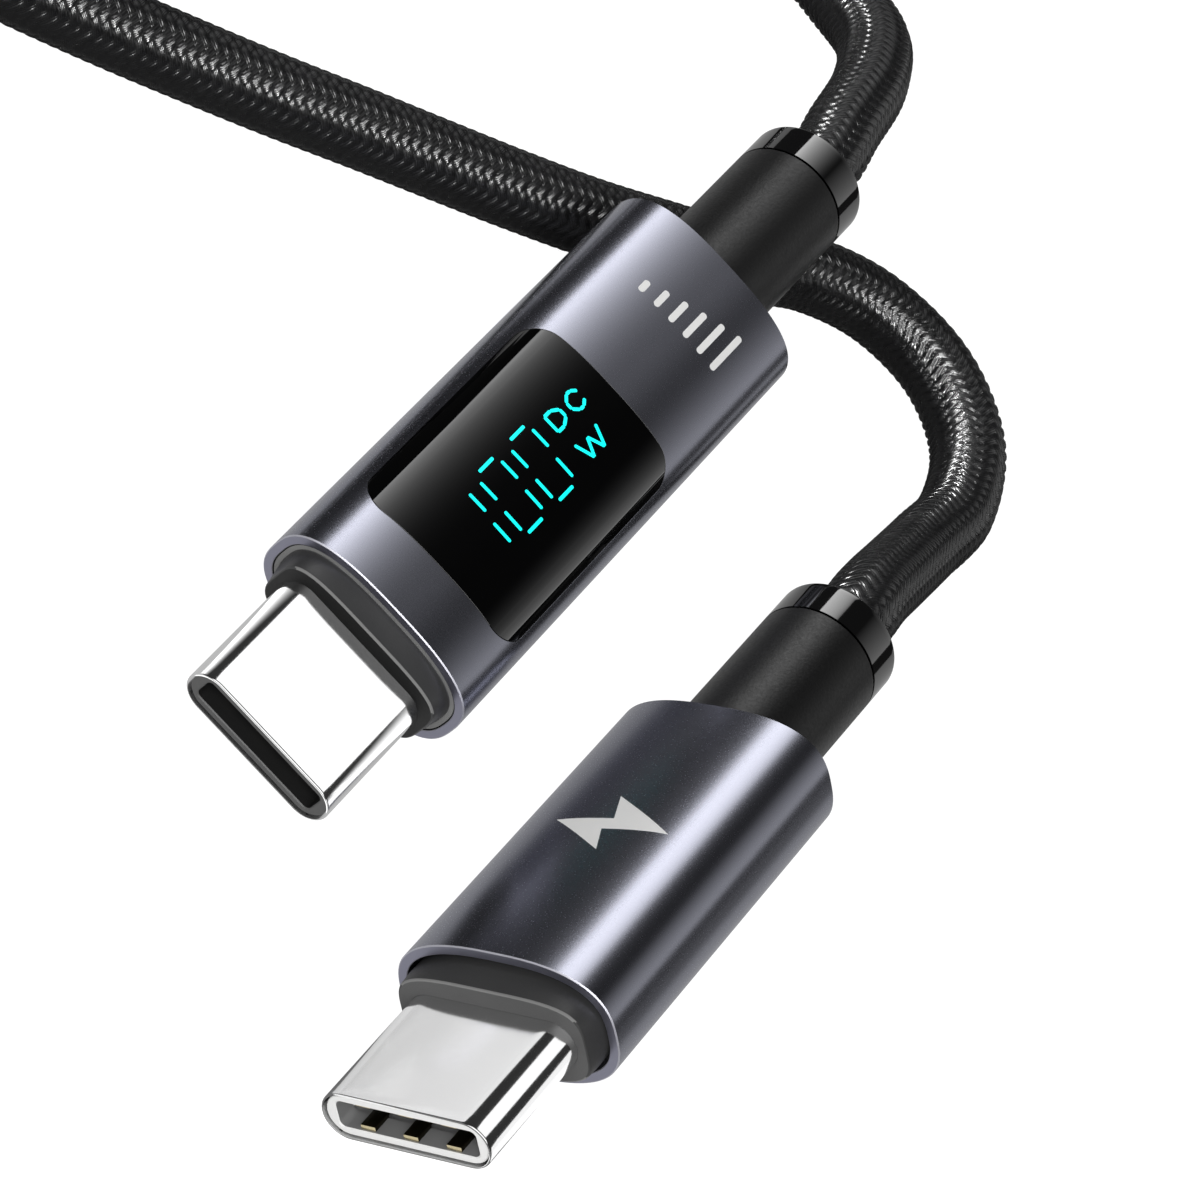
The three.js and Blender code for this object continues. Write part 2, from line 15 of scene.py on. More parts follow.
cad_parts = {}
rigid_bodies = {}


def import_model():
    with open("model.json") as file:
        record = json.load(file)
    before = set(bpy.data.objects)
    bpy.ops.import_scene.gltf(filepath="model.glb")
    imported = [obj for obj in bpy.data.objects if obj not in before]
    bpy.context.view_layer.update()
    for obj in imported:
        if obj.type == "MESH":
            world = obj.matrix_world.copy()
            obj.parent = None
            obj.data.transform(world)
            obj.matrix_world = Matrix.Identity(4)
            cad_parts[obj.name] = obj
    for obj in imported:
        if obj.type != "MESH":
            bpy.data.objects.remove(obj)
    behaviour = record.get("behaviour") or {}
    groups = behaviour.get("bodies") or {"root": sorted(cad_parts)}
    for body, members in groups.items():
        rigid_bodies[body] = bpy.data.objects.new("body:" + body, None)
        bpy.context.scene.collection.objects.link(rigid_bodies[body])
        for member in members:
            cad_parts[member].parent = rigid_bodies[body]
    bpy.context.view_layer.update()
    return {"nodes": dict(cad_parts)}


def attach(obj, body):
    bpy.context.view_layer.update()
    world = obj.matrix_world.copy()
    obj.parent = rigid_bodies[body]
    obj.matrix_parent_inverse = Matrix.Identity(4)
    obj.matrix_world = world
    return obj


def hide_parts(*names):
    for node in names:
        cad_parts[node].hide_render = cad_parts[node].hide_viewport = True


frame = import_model()
MM = 0.001


def turn(degrees, axis):
    return Matrix.Rotation(math.radians(degrees), 4, axis)


def degrees_to_unit(azimuth, elevation):
    """A direction: azimuth from +Y towards +X, elevation above the floor."""
    a, e = math.radians(azimuth), math.radians(elevation)
    return Vector((math.sin(a) * math.cos(e), math.cos(a) * math.cos(e), math.sin(e)))


def added(name, data):
    made = bpy.data.objects.new(name, data)
    bpy.context.scene.collection.objects.link(made)
    return made


# ---- camera ----

CAMERA_AT = (-13.145, -152.01, 146.978)
CAMERA_TURN, CAMERA_TILT, CAMERA_ROLL = -7.553, 46.272, 52.285
lens = bpy.data.cameras.new("camera")
lens.lens, lens.sensor_width = 138.3, 36
lens.clip_start, lens.clip_end = 0.005, 20
camera = added("camera", lens)
camera.matrix_world = (Matrix.Translation(Vector(CAMERA_AT) * MM) @ turn(CAMERA_TURN, "Z")
                       @ turn(CAMERA_TILT, "X") @ turn(CAMERA_ROLL, "Z"))
bpy.context.scene.camera = camera
bpy.context.scene.view_settings.view_transform = "Standard"

# ---- driving sizes, as in the CAD model ----

METER = Matrix.Translation((0, -23.1996, 2.14753)) @ turn(6.5, "X")
FAR = Matrix.Translation((14.78, -33.76, 4.612018)) @ turn(-1.25, "Z") @ turn(2.4, "X") @ turn(-51.3, "Y")
METER_SLEEVE = {"half_width": 5.57, "half_height": 3.09, "exponent": 2.75, "back": 36.05}
FAR_SLEEVE = {"half_width": 5.36, "half_height": 3.2, "exponent": 2.7, "back": 26.9}
SHELL_HALF_WIDTH, SHELL_HALF_HEIGHT, SHELL_WALL, SHELL_BACK = 4.125, 1.2, 0.17, 10.4
SLEEVE_FRONT, SLEEVE_WALL = 8.0, 0.45
BOOT_RADIUS, BOOT_LENGTH, COLLAR_LENGTH = 3.05, 8.4, 2.05
CABLE_RADIUS = 1.9
COIL_X, COIL_Y, COIL_LOW, COIL_HIGH = -58.5, 14.67, 2.75, 6.6
TURNS = (25.7, 21.85, 18.0)
LAST_TURN = 29.65
METER_ROUTE = [
    (-0.4, 27.5, 7.7), (-0.9, 32, 7.3), (-2.2, 36.2, 6.1), (-4.9, 39.3, 4.2), (-8.6, 41.5, 2.8),
    (-12.9, 42.9, 2.1), (-17.4, 43.6, 1.95), (-21.9, 43.7, 2), (-26.5, 43.3, 2.1), (-31, 42.7, 2.2),
    (-35.4, 42, 2.4), (-39.9, 41.2, 2.5)]
FAR_ROUTE = [
    (-37.9, -7.1, 2.7), (-34.3, -4.6, 2.6), (-30.6, -2.2, 2.4), (-27, 0.3, 2.2), (-23.4, 2.9, 2.05),
    (-19.9, 5.4, 2), (-16.3, 8.1, 1.95), (-12.8, 10.6, 1.95), (-9.2, 13.2, 1.95), (-5.7, 15.9, 1.95),
    (-2.4, 18.8, 1.95), (0.9, 21.7, 1.95), (3.8, 25, 1.95), (7.6, 27.1, 2), (11.9, 26.8, 2.4),
    (15.4, 24.3, 2.6), (17, 20.3, 2.6), (16.7, 16, 3.1), (16.2, 11.8, 4.4), (15.7, 7.7, 5.8)]


# ---- meshes ----

def mesh_object(name, verts, faces, place=Matrix.Identity(4), smooth_angle=30.0):
    """A mesh whose points are given in mm in a plug's frame, placed in the row frame in metres."""
    mesh = bpy.data.meshes.new(name)
    mesh.from_pydata([tuple(map(float, v)) for v in verts], [], [tuple(map(int, f)) for f in faces])
    mesh.transform(Matrix.Scale(MM, 4) @ place)
    mesh.validate()
    made = bmesh.new()
    made.from_mesh(mesh)
    bmesh.ops.recalc_face_normals(made, faces=made.faces)
    made.to_mesh(mesh)
    made.free()
    return object_of(name, mesh, smooth_angle)


def object_of(name, mesh, smooth_angle=30.0):
    smoothed(mesh, smooth_angle)
    return added(name, mesh)


def smoothed(mesh, smooth_angle=30.0):
    mesh.shade_smooth()
    mesh.set_sharp_from_angle(angle=math.radians(smooth_angle))


def put(piece, material, slot, *nodes):
    """Gives a piece its material, lets it ride, and says which CAD nodes it stands for."""
    piece.data.materials.clear()
    piece.data.materials.append(material)
    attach(piece, "root")
    if nodes:
        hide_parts(*nodes)
    return piece


def quarter_points(points, count):
    """Resamples a quarter outline, with more points where it bends; the last point is left out."""
    step = np.diff(points, axis=0)
    length = np.hypot(step[:, 0], step[:, 1])
    heading = np.unwrap(np.arctan2(step[:, 1], step[:, 0]))
    bend = np.abs(np.diff(heading, prepend=heading[0]))
    total = length.sum()
    weight = np.concatenate([[0], np.cumsum(length + 0.45 * total * bend / max(bend.sum(), 1e-9))])
    want = np.linspace(0, weight[-1], count + 1)[:-1]
    return np.stack([np.interp(want, weight, points[:, i]) for i in (0, 1)], axis=1)


def four_quarters(quarter, top):
    """A whole outline from the quarter that runs from +x to its top."""
    upper_left = (quarter * (-1, 1))[1:][::-1]
    half = np.concatenate([quarter, [(0.0, top)], upper_left])
    return np.concatenate([half, -half])


def outline(kind, half_width, half_height, bend, count):
    """A closed outline in (x, z) that starts at +x; count is its number of points, a multiple of four.
    bend is a superellipse's exponent, or the corner radius of a rounded outline."""
    t = np.linspace(0, math.pi / 2, 3000)
    if kind == "superellipse":
        curve = np.stack([half_width * np.cos(t) ** (2 / bend), half_height * np.sin(t) ** (2 / bend)], 1)
    else:
        arc = np.stack([half_width - bend + bend * np.cos(t), half_height - bend + bend * np.sin(t)], 1)
        flat = np.stack([np.linspace(half_width - bend, 0, 400), np.full(400, half_height)], 1)
        curve = np.concatenate([arc[:-1], flat])
        if half_height > bend + 1e-6:
            side = np.stack([np.full(200, half_width), np.linspace(0, half_height - bend, 200)], 1)
            curve = np.concatenate([side[:-1], curve])
    return four_quarters(quarter_points(curve, count // 4), half_height)


def superellipse(sleeve, less=0.0, count=192):
    """A sleeve's outline, moved inwards by less."""
    return outline("superellipse", sleeve["half_width"] - less, sleeve["half_height"] - less,
                   sleeve["exponent"], count)


def stadium(half_width, half_height, count):
    """A flat outline with half circles for its ends."""
    return outline("rounded", half_width, half_height, half_height, count)


def joined(loops, count, closed=True):
    """Faces from each loop of count points to the next and, if closed, from the last to the first."""
    faces = []
    for s in range(loops if closed else loops - 1):
        here, there = s * count, (s + 1) % loops * count
        for i in range(count):
            j = (i + 1) % count
            faces.append((here + i, here + j, there + j, there + i))
    return faces


def rings(sections):
    """Verts and faces of outlines at given Y, joined one to the next and the last to the first."""
    count = len(sections[0][0])
    verts = np.concatenate([np.stack([o[:, 0], np.full(count, y), o[:, 1]], 1) for o, y in sections])
    return verts, joined(len(sections), count)


def lathe(profile):
    """A closed (radius, y) profile turned about Y."""
    angle = np.linspace(0, 2 * math.pi, 128, endpoint=False)
    circle = np.stack([np.cos(angle), np.sin(angle)], 1)
    return rings([(circle * r, y) for r, y in profile])


def rounded(radius, start, end, steps):
    """Points of an arc from angle start to end in degrees, as (cos, sin) times radius."""
    return [(radius * math.cos(math.radians(a)), radius * math.sin(math.radians(a)))
            for a in np.linspace(start, end, steps + 1)]


def box_mesh(left, right, front, back, low, high, bevel):
    """A box with rounded edges."""
    made = bmesh.new()
    bmesh.ops.create_cube(made, size=1)
    for v in made.verts:
        v.co = Vector(((left + right) / 2 + v.co.x * (right - left),
                       (front + back) / 2 + v.co.y * (back - front),
                       (low + high) / 2 + v.co.z * (high - low)))
    bmesh.ops.bevel(made, geom=list(made.edges), offset=bevel, segments=2, profile=0.5, affect="EDGES")
    return taken_from(made)


def taken_from(made):
    """The verts and faces of a bmesh, which is freed."""
    verts = [tuple(v.co) for v in made.verts]
    index = {v: i for i, v in enumerate(made.verts)}
    faces = [tuple(index[v] for v in f.verts) for f in made.faces]
    made.free()
    return verts, faces


def together(*parts):
    verts, faces = [], []
    for some, their in parts:
        shift = len(verts)
        verts.extend(tuple(v) for v in some)
        faces.extend(tuple(i + shift for i in f) for f in their)
    return verts, faces


def boolean(piece, tool, operation, name):
    """What is left of the piece after a boolean with the tool; both go."""
    step = piece.modifiers.new("cut", "BOOLEAN")
    step.operation, step.solver, step.object = operation, "EXACT", tool
    bpy.context.view_layer.update()
    depsgraph = bpy.context.evaluated_depsgraph_get()
    mesh = bpy.data.meshes.new_from_object(piece.evaluated_get(depsgraph))
    mesh.name = name
    for used in (piece, tool):
        bpy.data.objects.remove(used)
    return object_of(name, mesh)


# ---- materials ----

class Nodes:
    """A small help for building a material's node tree."""

    def __init__(self, name):
        self.material = bpy.data.materials.new(name)
        self.material.use_nodes = True
        self.tree = self.material.node_tree
        self.shader = self.tree.nodes["Principled BSDF"]

    def add(self, kind, **settings):
        made = self.tree.nodes.new(kind)
        for key, value in settings.items():
            setattr(made, key, value)
        return made

    def link(self, a, b):
        self.tree.links.new(a, b)

    def set(self, **values):
        for key, value in values.items():
            self.shader.inputs[key.replace("_", " ")].default_value = value

    def math(self, operation, *values):
        made = self.add("ShaderNodeMath", operation=operation)
        for i, value in enumerate(values):
            if isinstance(value, (int, float)):
                made.inputs[i].default_value = value
            else:
                self.link(value, made.inputs[i])
        return made.outputs[0]

    def noise(self, scale, detail=2.0, stretch=(1, 1, 1)):
        """Noise in the row frame, scale in cells per mm."""
        where = self.add("ShaderNodeTexCoord").outputs["Object"]
        if stretch != (1, 1, 1):
            mapped = self.add("ShaderNodeMapping")
            mapped.inputs["Scale"].default_value = stretch
            self.link(where, mapped.inputs["Vector"])
            where = mapped.outputs["Vector"]
        made = self.add("ShaderNodeTexNoise")
        made.inputs["Scale"].default_value = scale / MM
        made.inputs["Detail"].default_value = detail
        self.link(where, made.inputs["Vector"])
        return made.outputs["Fac"]

    def ramp(self, value, low, high):
        """Maps 0..1 noise to low..high."""
        made = self.add("ShaderNodeMapRange")
        made.inputs["From Min"].default_value, made.inputs["From Max"].default_value = 0.3, 0.7
        made.inputs["To Min"].default_value, made.inputs["To Max"].default_value = low, high
        self.link(value, made.inputs["Value"])
        return made.outputs["Result"]

    def colour(self, value, first, second):
        mix = self.add("ShaderNodeMix", data_type="RGBA")
        self.link(value, mix.inputs["Factor"])
        mix.inputs[6].default_value = (*first, 1)
        mix.inputs[7].default_value = (*second, 1)
        self.link(mix.outputs[2], self.shader.inputs["Base Color"])

    def bump(self, height, distance):
        made = self.add("ShaderNodeBump")
        made.inputs["Distance"].default_value = distance * MM
        self.link(height, made.inputs["Height"])
        self.link(made.outputs["Normal"], self.shader.inputs["Normal"])


def surface(name, first, second, roughness, metallic, grain, depth, rough_to=None, detail=2.0,
            stretch=(1, 1, 1), **more):
    """Two close colours in a slow noise, roughness that wanders, and a fine grain bump."""
    n = Nodes(name)
    n.set(Metallic=metallic, **more)
    n.colour(n.noise(0.6, 3.0), first, second)
    fine = n.noise(grain, detail, stretch)
    n.link(n.ramp(fine, roughness, rough_to or roughness * 1.15), n.shader.inputs["Roughness"])
    n.bump(fine, depth)
    return n.material


ANODISED = surface("anodised", (0.29, 0.295, 0.345), (0.3, 0.306, 0.356), 0.24, 1.0, 14.0, 0.0004)
ANODISED_CUT = surface("anodised_cut", (0.36, 0.36, 0.45), (0.39, 0.39, 0.48), 0.3, 1.0, 14.0, 0.0004)
ANODISED_EDGE = surface("anodised_edge", (0.6, 0.6, 0.66), (0.65, 0.65, 0.71), 0.5, 1.0, 14.0, 0.0004)
NICKEL = surface("nickel", (0.86, 0.86, 0.865), (0.9, 0.9, 0.9), 0.11, 1.0, 4.0, 0.0003, rough_to=0.13)
GOLD = surface("gold", (0.96, 0.83, 0.5), (0.98, 0.87, 0.58), 0.24, 1.0, 12.0, 0.0008)
SPRING_STEEL = surface("spring_steel", (0.5, 0.5, 0.52), (0.56, 0.56, 0.57), 0.32, 1.0, 14.0, 0.001,
                       stretch=(1, 8, 1))
COPPER = surface("copper", (0.75, 0.42, 0.24), (0.66, 0.34, 0.18), 0.3, 1.0, 10.0, 0.001)
# dark plastic; also put on the cut wall round the display window as painted shade
DARK_PLASTIC_AND_SHADE = surface("dark_plastic", (0.036, 0.036, 0.037), (0.043, 0.043, 0.044), 0.38, 0.0, 9.0, 0.003)
# a lighter copy of the dark plastic: painted light on the nose's ledge and a painted highlight on its upper
# and lower front bevel
PLASTIC_PAINTED_LIGHT = surface("plastic_painted_light", (0.18, 0.18, 0.178), (0.2, 0.2, 0.197), 0.5, 0.0, 9.0, 0.003)
FAR_PLASTIC = surface("far_plastic", (0.032, 0.032, 0.033), (0.04, 0.04, 0.04), 0.45, 0.0, 9.0, 0.003)
# a lighter copy of the far plastic: painted light on the far nose's front face
FAR_FRONT_PAINTED_LIGHT = surface("far_front_painted_light", (0.075, 0.075, 0.075), (0.088, 0.088, 0.088), 0.45, 0.0, 9.0, 0.003)
# a darker copy of the dark plastic: painted shade on the meter nose's front face
NOSE_FRONT_PAINTED_SHADE = surface("nose_front_painted_shade", (0.008, 0.008, 0.008), (0.011, 0.011, 0.011), 0.5, 0.0, 9.0, 0.003)
# darker copies of the two insulators: painted shade on the faces inside each tongue slot
SLOT_PAINTED_SHADE_BLACK = surface("slot_painted_shade_black", (0.002, 0.002, 0.002), (0.003, 0.003, 0.003), 0.6, 0.0, 12.0, 0.001)
SLOT_PAINTED_SHADE_GREY = surface("slot_painted_shade_grey", (0.2, 0.2, 0.2), (0.23, 0.23, 0.23), 0.45, 0.0, 12.0, 0.001)
# a dark copy of the gold: painted shade on the spring tips' faces that don't face the front
GOLD_PAINTED_SHADE = surface("gold_painted_shade", (0.03, 0.026, 0.016), (0.045, 0.038, 0.022), 0.4, 1.0, 12.0, 0.001)
DARK_INSULATOR = surface("dark_insulator", (0.075, 0.075, 0.075), (0.085, 0.085, 0.084), 0.4, 0.0, 12.0,
                         0.001)
PALE_INSULATOR = surface("pale_insulator", (0.8, 0.8, 0.79), (0.86, 0.86, 0.85), 0.4, 0.0, 12.0, 0.001)
BOARD = surface("board", (0.02, 0.09, 0.045), (0.03, 0.12, 0.06), 0.4, 0.0, 6.0, 0.002)
CHIP = surface("chip", (0.02, 0.02, 0.021), (0.028, 0.028, 0.029), 0.5, 0.0, 20.0, 0.001)
WHITE_FILM = surface("white_film", (0.8, 0.82, 0.82), (0.86, 0.87, 0.87), 0.5, 0.0, 10.0, 0.0006)
WINDOW = surface("window", (0.0004, 0.0004, 0.0005), (0.0007, 0.0007, 0.0008), 0.02, 0.0, 3.0, 0.0001,
                 rough_to=0.03, IOR=1.5)
BOOT = surface("boot", (0.008, 0.008, 0.0085), (0.011, 0.011, 0.0115), 0.4, 0.0, 7.0, 0.008,
               rough_to=0.5, detail=3.0)
COLLAR = surface("collar", (0.006, 0.006, 0.0065), (0.009, 0.009, 0.0095), 0.05, 0.0, 3.0, 0.0002,
                 rough_to=0.07, IOR=1.9)
STRAP = surface("strap", (0.012, 0.012, 0.013), (0.02, 0.02, 0.022), 0.75, 0.0, 4.0, 0.12, detail=4.0)
WIRES = {
    node: surface(colour, first, second, 0.35, 0.0, 4.0, 0.002) for node, colour, first, second in (
        ("supply_wire", "red_wire", (0.4, 0.03, 0.03), (0.46, 0.05, 0.04)),
        ("ground_wire", "black_wire", (0.02, 0.02, 0.02), (0.03, 0.03, 0.03)),
        ("sense_wire", "blue_wire", (0.03, 0.08, 0.35), (0.04, 0.1, 0.4)),
        ("data_pair", "white_wire", (0.7, 0.7, 0.68), (0.76, 0.76, 0.74)))}
INK = surface("ink", (0.8, 0.8, 0.79), (0.86, 0.86, 0.85), 0.5, 0.0, 25.0, 0.002)


def lit_material():
    """The display's glowing segments."""
    n = Nodes("lit_segments")
    n.set(Roughness=0.4, Base_Color=(0.0, 0.3, 0.3, 1))
    n.set(Emission_Color=(0.0, 1.0, 0.92, 1), Emission_Strength=1.0)
    n.link(n.ramp(n.noise(2.0), 0.35, 0.45), n.shader.inputs["Roughness"])
    return n.material


LIT = lit_material()


# ---- the cord ----

YARNS = 14  # each way round
PITCH_ALONG = 0.58  # mm between neighbouring yarns of one direction, along the cable
BRAID_DEPTH = 0.09
CROWN_RADIUS = CABLE_RADIUS + 0.03  # to the highest points of the yarns
FULL_TURNS = 6
STEP_AT, STEP_SPAN = 40, 45  # degrees: where each turn moves over to the next, and for how long
DROP_AT = 95  # degrees past the full turns, where the last part turn steps down to the outside


def catmull_rom(points):
    """A smooth line through the points, spaced by the square root of their distances."""
    per_span = 24
    p = np.array(points, float)
    p = np.concatenate([[2 * p[0] - p[1]], p, [2 * p[-1] - p[-2]]])
    made = []
    for a, b, c, d in zip(p[:-3], p[1:-2], p[2:-1], p[3:]):
        t0 = 0.0
        t1 = t0 + np.linalg.norm(b - a) ** 0.5
        t2 = t1 + np.linalg.norm(c - b) ** 0.5
        t3 = t2 + np.linalg.norm(d - c) ** 0.5
        t = np.linspace(t1, t2, per_span, endpoint=False)[:, None]
        ab = (t1 - t) / (t1 - t0) * a + (t - t0) / (t1 - t0) * b
        bc = (t2 - t) / (t2 - t1) * b + (t - t1) / (t2 - t1) * c
        cd = (t3 - t) / (t3 - t2) * c + (t - t2) / (t3 - t2) * d
        abc = (t2 - t) / (t2 - t0) * ab + (t - t0) / (t2 - t0) * bc
        bcd = (t3 - t) / (t3 - t1) * bc + (t - t1) / (t3 - t1) * cd
        made.append((t2 - t) / (t2 - t1) * abc + (t - t1) / (t2 - t1) * bcd)
    return np.concatenate(made + [p[-2][None]])


def smooth(f):
    f = min(max(f, 0.0), 1.0)
    return f * f * (3 - 2 * f)


def coil_point(total):
    """The coil's centreline at a total angle in degrees, from 90 where the cable comes in."""
    layers = [(TURNS[0], COIL_LOW), (TURNS[1], COIL_LOW), (TURNS[2], COIL_LOW),
              (TURNS[2], COIL_HIGH), (TURNS[1], COIL_HIGH), (TURNS[0], COIL_HIGH)]
    ring = min(int((total - STEP_AT) // 360), FULL_TURNS)
    inside = total - STEP_AT - 360 * ring
    if ring == 0:
        radius, height = layers[0]
    elif ring < FULL_TURNS:
        part = smooth(inside / STEP_SPAN)
        radius = layers[ring - 1][0] + (layers[ring][0] - layers[ring - 1][0]) * part
        height = layers[ring - 1][1] + (layers[ring][1] - layers[ring - 1][1]) * part
        if ring == 3:  # where it climbs to the upper layer, it keeps clear of the turn below
            radius -= 1.6 * math.sin(math.pi * min(inside / STEP_SPAN, 1))
    else:
        radius, height = layers[-1]
    down = total - (360 * FULL_TURNS + DROP_AT)
    if down > 0:
        drop = min(down / STEP_SPAN, 1) * math.pi / 2
        radius = TURNS[0] + (LAST_TURN - TURNS[0]) * math.sin(drop)
        height = COIL_LOW + (COIL_HIGH - COIL_LOW) * math.cos(drop)
    angle = math.radians(total)
    return (COIL_X + radius * math.cos(angle), COIL_Y + radius * math.sin(angle), height)


def on_back_tangent(degrees):
    angle = math.radians(degrees)
    reach = TURNS[0] / math.sin(angle)
    return (COIL_X + reach * math.cos(angle), COIL_Y + reach * math.sin(angle), COIL_LOW)


def behind(place, y):
    return tuple(place @ Vector((0, y, 0)))


METER_EXIT = METER_SLEEVE["back"] + BOOT_LENGTH + COLLAR_LENGTH
FAR_EXIT = FAR_SLEEVE["back"] + BOOT_LENGTH + COLLAR_LENGTH
INSIDE = 0.6  # how far the braid reaches into each collar
coil_angles = np.arange(90, 360 * FULL_TURNS + 305.1, 7.5)
route = ([behind(METER, METER_EXIT - INSIDE), behind(METER, METER_EXIT + 2)] + METER_ROUTE
         + [on_back_tangent(60), on_back_tangent(75)]
         + [coil_point(a) for a in coil_angles]
         + FAR_ROUTE + [behind(FAR, FAR_EXIT + 2), behind(FAR, FAR_EXIT - INSIDE)])
fine_line = catmull_rom(route)


def along_line(line, distances):
    gone = np.concatenate([[0], np.cumsum(np.linalg.norm(np.diff(line, axis=0), axis=1))])
    return np.stack([np.interp(distances, gone, line[:, i]) for i in range(3)], 1)


def line_length(line):
    return float(np.linalg.norm(np.diff(line, axis=0), axis=1).sum())


CORD_LENGTH = line_length(fine_line)


def carried_frames(line):
    """Two unit vectors across the line at each point, carried along it without twist."""
    tangent = np.gradient(line, axis=0)
    tangent /= np.linalg.norm(tangent, axis=1)[:, None]
    side = np.zeros_like(line)
    across = np.cross(tangent[0], (0, 0, 1))
    across /= np.linalg.norm(across)
    for i in range(len(line)):
        across = across - tangent[i] * (across @ tangent[i])
        across /= np.linalg.norm(across)
        side[i] = across
    return side, np.cross(tangent, side)


def braid_height(u, v):
    """Height of the braid from 0 to 1. u counts yarns along the cable and v round it; each yarn goes
    over two and under two, so that the floats lie in columns like a herringbone."""
    p, q = u + v, u - v
    i, j = np.floor(p), np.floor(q)
    first_on_top = np.mod(i - j, 4) < 2
    across = np.where(first_on_top, p - i, q - j)
    # how far along its float of two cells the upper yarn is
    start_first = np.where(np.mod(i - j, 4) < 1, 1, 0)
    along_first = (q - j + start_first) / 2
    start_second = np.where(np.mod(i - j, 4) < 3, 1, 0)
    along_second = (p - i + 1 - start_second) / 2
    along = np.where(first_on_top, along_first, along_second)
    crown = 1 - np.abs(2 * across - 1) ** 3
    rise = np.sin(math.pi * np.clip(along, 0, 1)) ** 0.8
    return crown * (0.3 + 0.7 * rise)


def ring_places(length, parts):
    """Where the braid's rings stand along the cable, and how many points a yarn has at each. parts are
    (length, points per yarn)."""
    places, points = [], []
    start = 0.0
    for span, per_yarn in parts:
        step = PITCH_ALONG / (2 * per_yarn)
        for _ in range(int(round(span / step))):
            places.append(start)
            points.append(per_yarn)
            start += step
    places, points = np.array(places), np.array(points)
    inside = places <= length
    return places[inside], points[inside]


def braid_faces(points, vs, first):
    """Triangles between the rings, with their edges along the yarns, and a cap at each end."""
    faces = []
    last = len(points) - 1
    for r in range(last):
        m, n = points[r], points[r + 1]
        here, there = first[r], first[r + 1]
        count = YARNS * m
        if m != n:
            faces.extend(stitch(here, vs[here:here + count], there, vs[there:there + YARNS * n]))
            continue
        k = np.arange(count)
        after = (k + 1) % count
        if vs[there] > vs[here]:  # the next ring is half a cell further round
            one = np.stack([here + k, here + after, there + k], 1)
            other = np.stack([here + after, there + after, there + k], 1)
        else:
            one = np.stack([here + k, here + after, there + after], 1)
            other = np.stack([here + k, there + after, there + k], 1)
        faces.extend(map(tuple, one))
        faces.extend(map(tuple, other))
    faces.append(tuple(range(first[0], first[0] + YARNS * points[0]))[::-1])
    faces.append(tuple(range(first[last], first[last] + YARNS * points[last])))
    return faces


def add_yarn_map(mesh, us, vs):
    """A UV map that counts yarns along and round the cable, and goes on past the seam."""
    layer = mesh.uv_layers.new(name="yarns")
    corner = np.zeros(len(mesh.loops), np.int32)
    mesh.loops.foreach_get("vertex_index", corner)
    uv = np.stack([us[corner], vs[corner]], 1)
    sizes = np.zeros(len(mesh.polygons), np.int32)
    mesh.polygons.foreach_get("loop_total", sizes)
    face_of = np.repeat(np.arange(len(sizes)), sizes)
    widest, lowest = np.full(len(sizes), -1.0), np.full(len(sizes), 1e9)
    np.maximum.at(widest, face_of, uv[:, 1])
    np.minimum.at(lowest, face_of, uv[:, 1])
    wraps = (widest - lowest > YARNS / 2) & (sizes <= 4)
    uv[wraps[face_of] & (uv[:, 1] < YARNS / 2), 1] += YARNS
    layer.data.foreach_set("uv", uv.astype(np.float32).ravel())


def braided_tube(name, line, parts):
    """A tube whose surface is the braid, along a line in mm."""
    places, points = ring_places(line_length(line), parts)
    centre = along_line(line, places)
    side, up = carried_frames(centre)
    verts, us, vs, first = [], [], [], [0]
    for r, u_here in enumerate(places / PITCH_ALONG):
        m = points[r]
        # every other ring is set half a cell round
        shift = 0.5 * (int(round(u_here * 2 * m)) % 2)
        v = (np.arange(YARNS * m) + shift) / m
        u = np.full(YARNS * m, u_here)
        radius = CROWN_RADIUS - BRAID_DEPTH * (1 - braid_height(u + 1e-4, v + 1e-4))
        angle = 2 * math.pi * v / YARNS
        outward = np.cos(angle)[:, None] * side[r] + np.sin(angle)[:, None] * up[r]
        verts.append(centre[r] + radius[:, None] * outward)
        us.append(u)
        vs.append(v)
        first.append(first[-1] + YARNS * m)
    verts, us, vs = np.concatenate(verts), np.concatenate(us), np.concatenate(vs)
    mesh = bpy.data.meshes.new(name)
    mesh.from_pydata((verts * MM).tolist(), [], braid_faces(points, vs, first))
    add_yarn_map(mesh, us, vs)
    mesh.shade_smooth()
    mesh.validate()
    return added(name, mesh)


def stitch(here, near, there, far):
    """Triangles between two rings with different numbers of points."""
    faces = []
    i, j = 0, 0
    a, b = len(near), len(far)
    while i < a or j < b:
        next_i = near[i + 1] if i + 1 < a else near[0] + YARNS * (i + 1 >= a)
        next_j = far[j + 1] if j + 1 < b else far[0] + YARNS * (j + 1 >= b)
        if j >= b or (i < a and next_i <= next_j):
            faces.append((here + i % a, here + (i + 1) % a, there + j % b))
            i += 1
        else:
            faces.append((here + i % a, there + (j + 1) % b, there + j % b))
            j += 1
    return faces


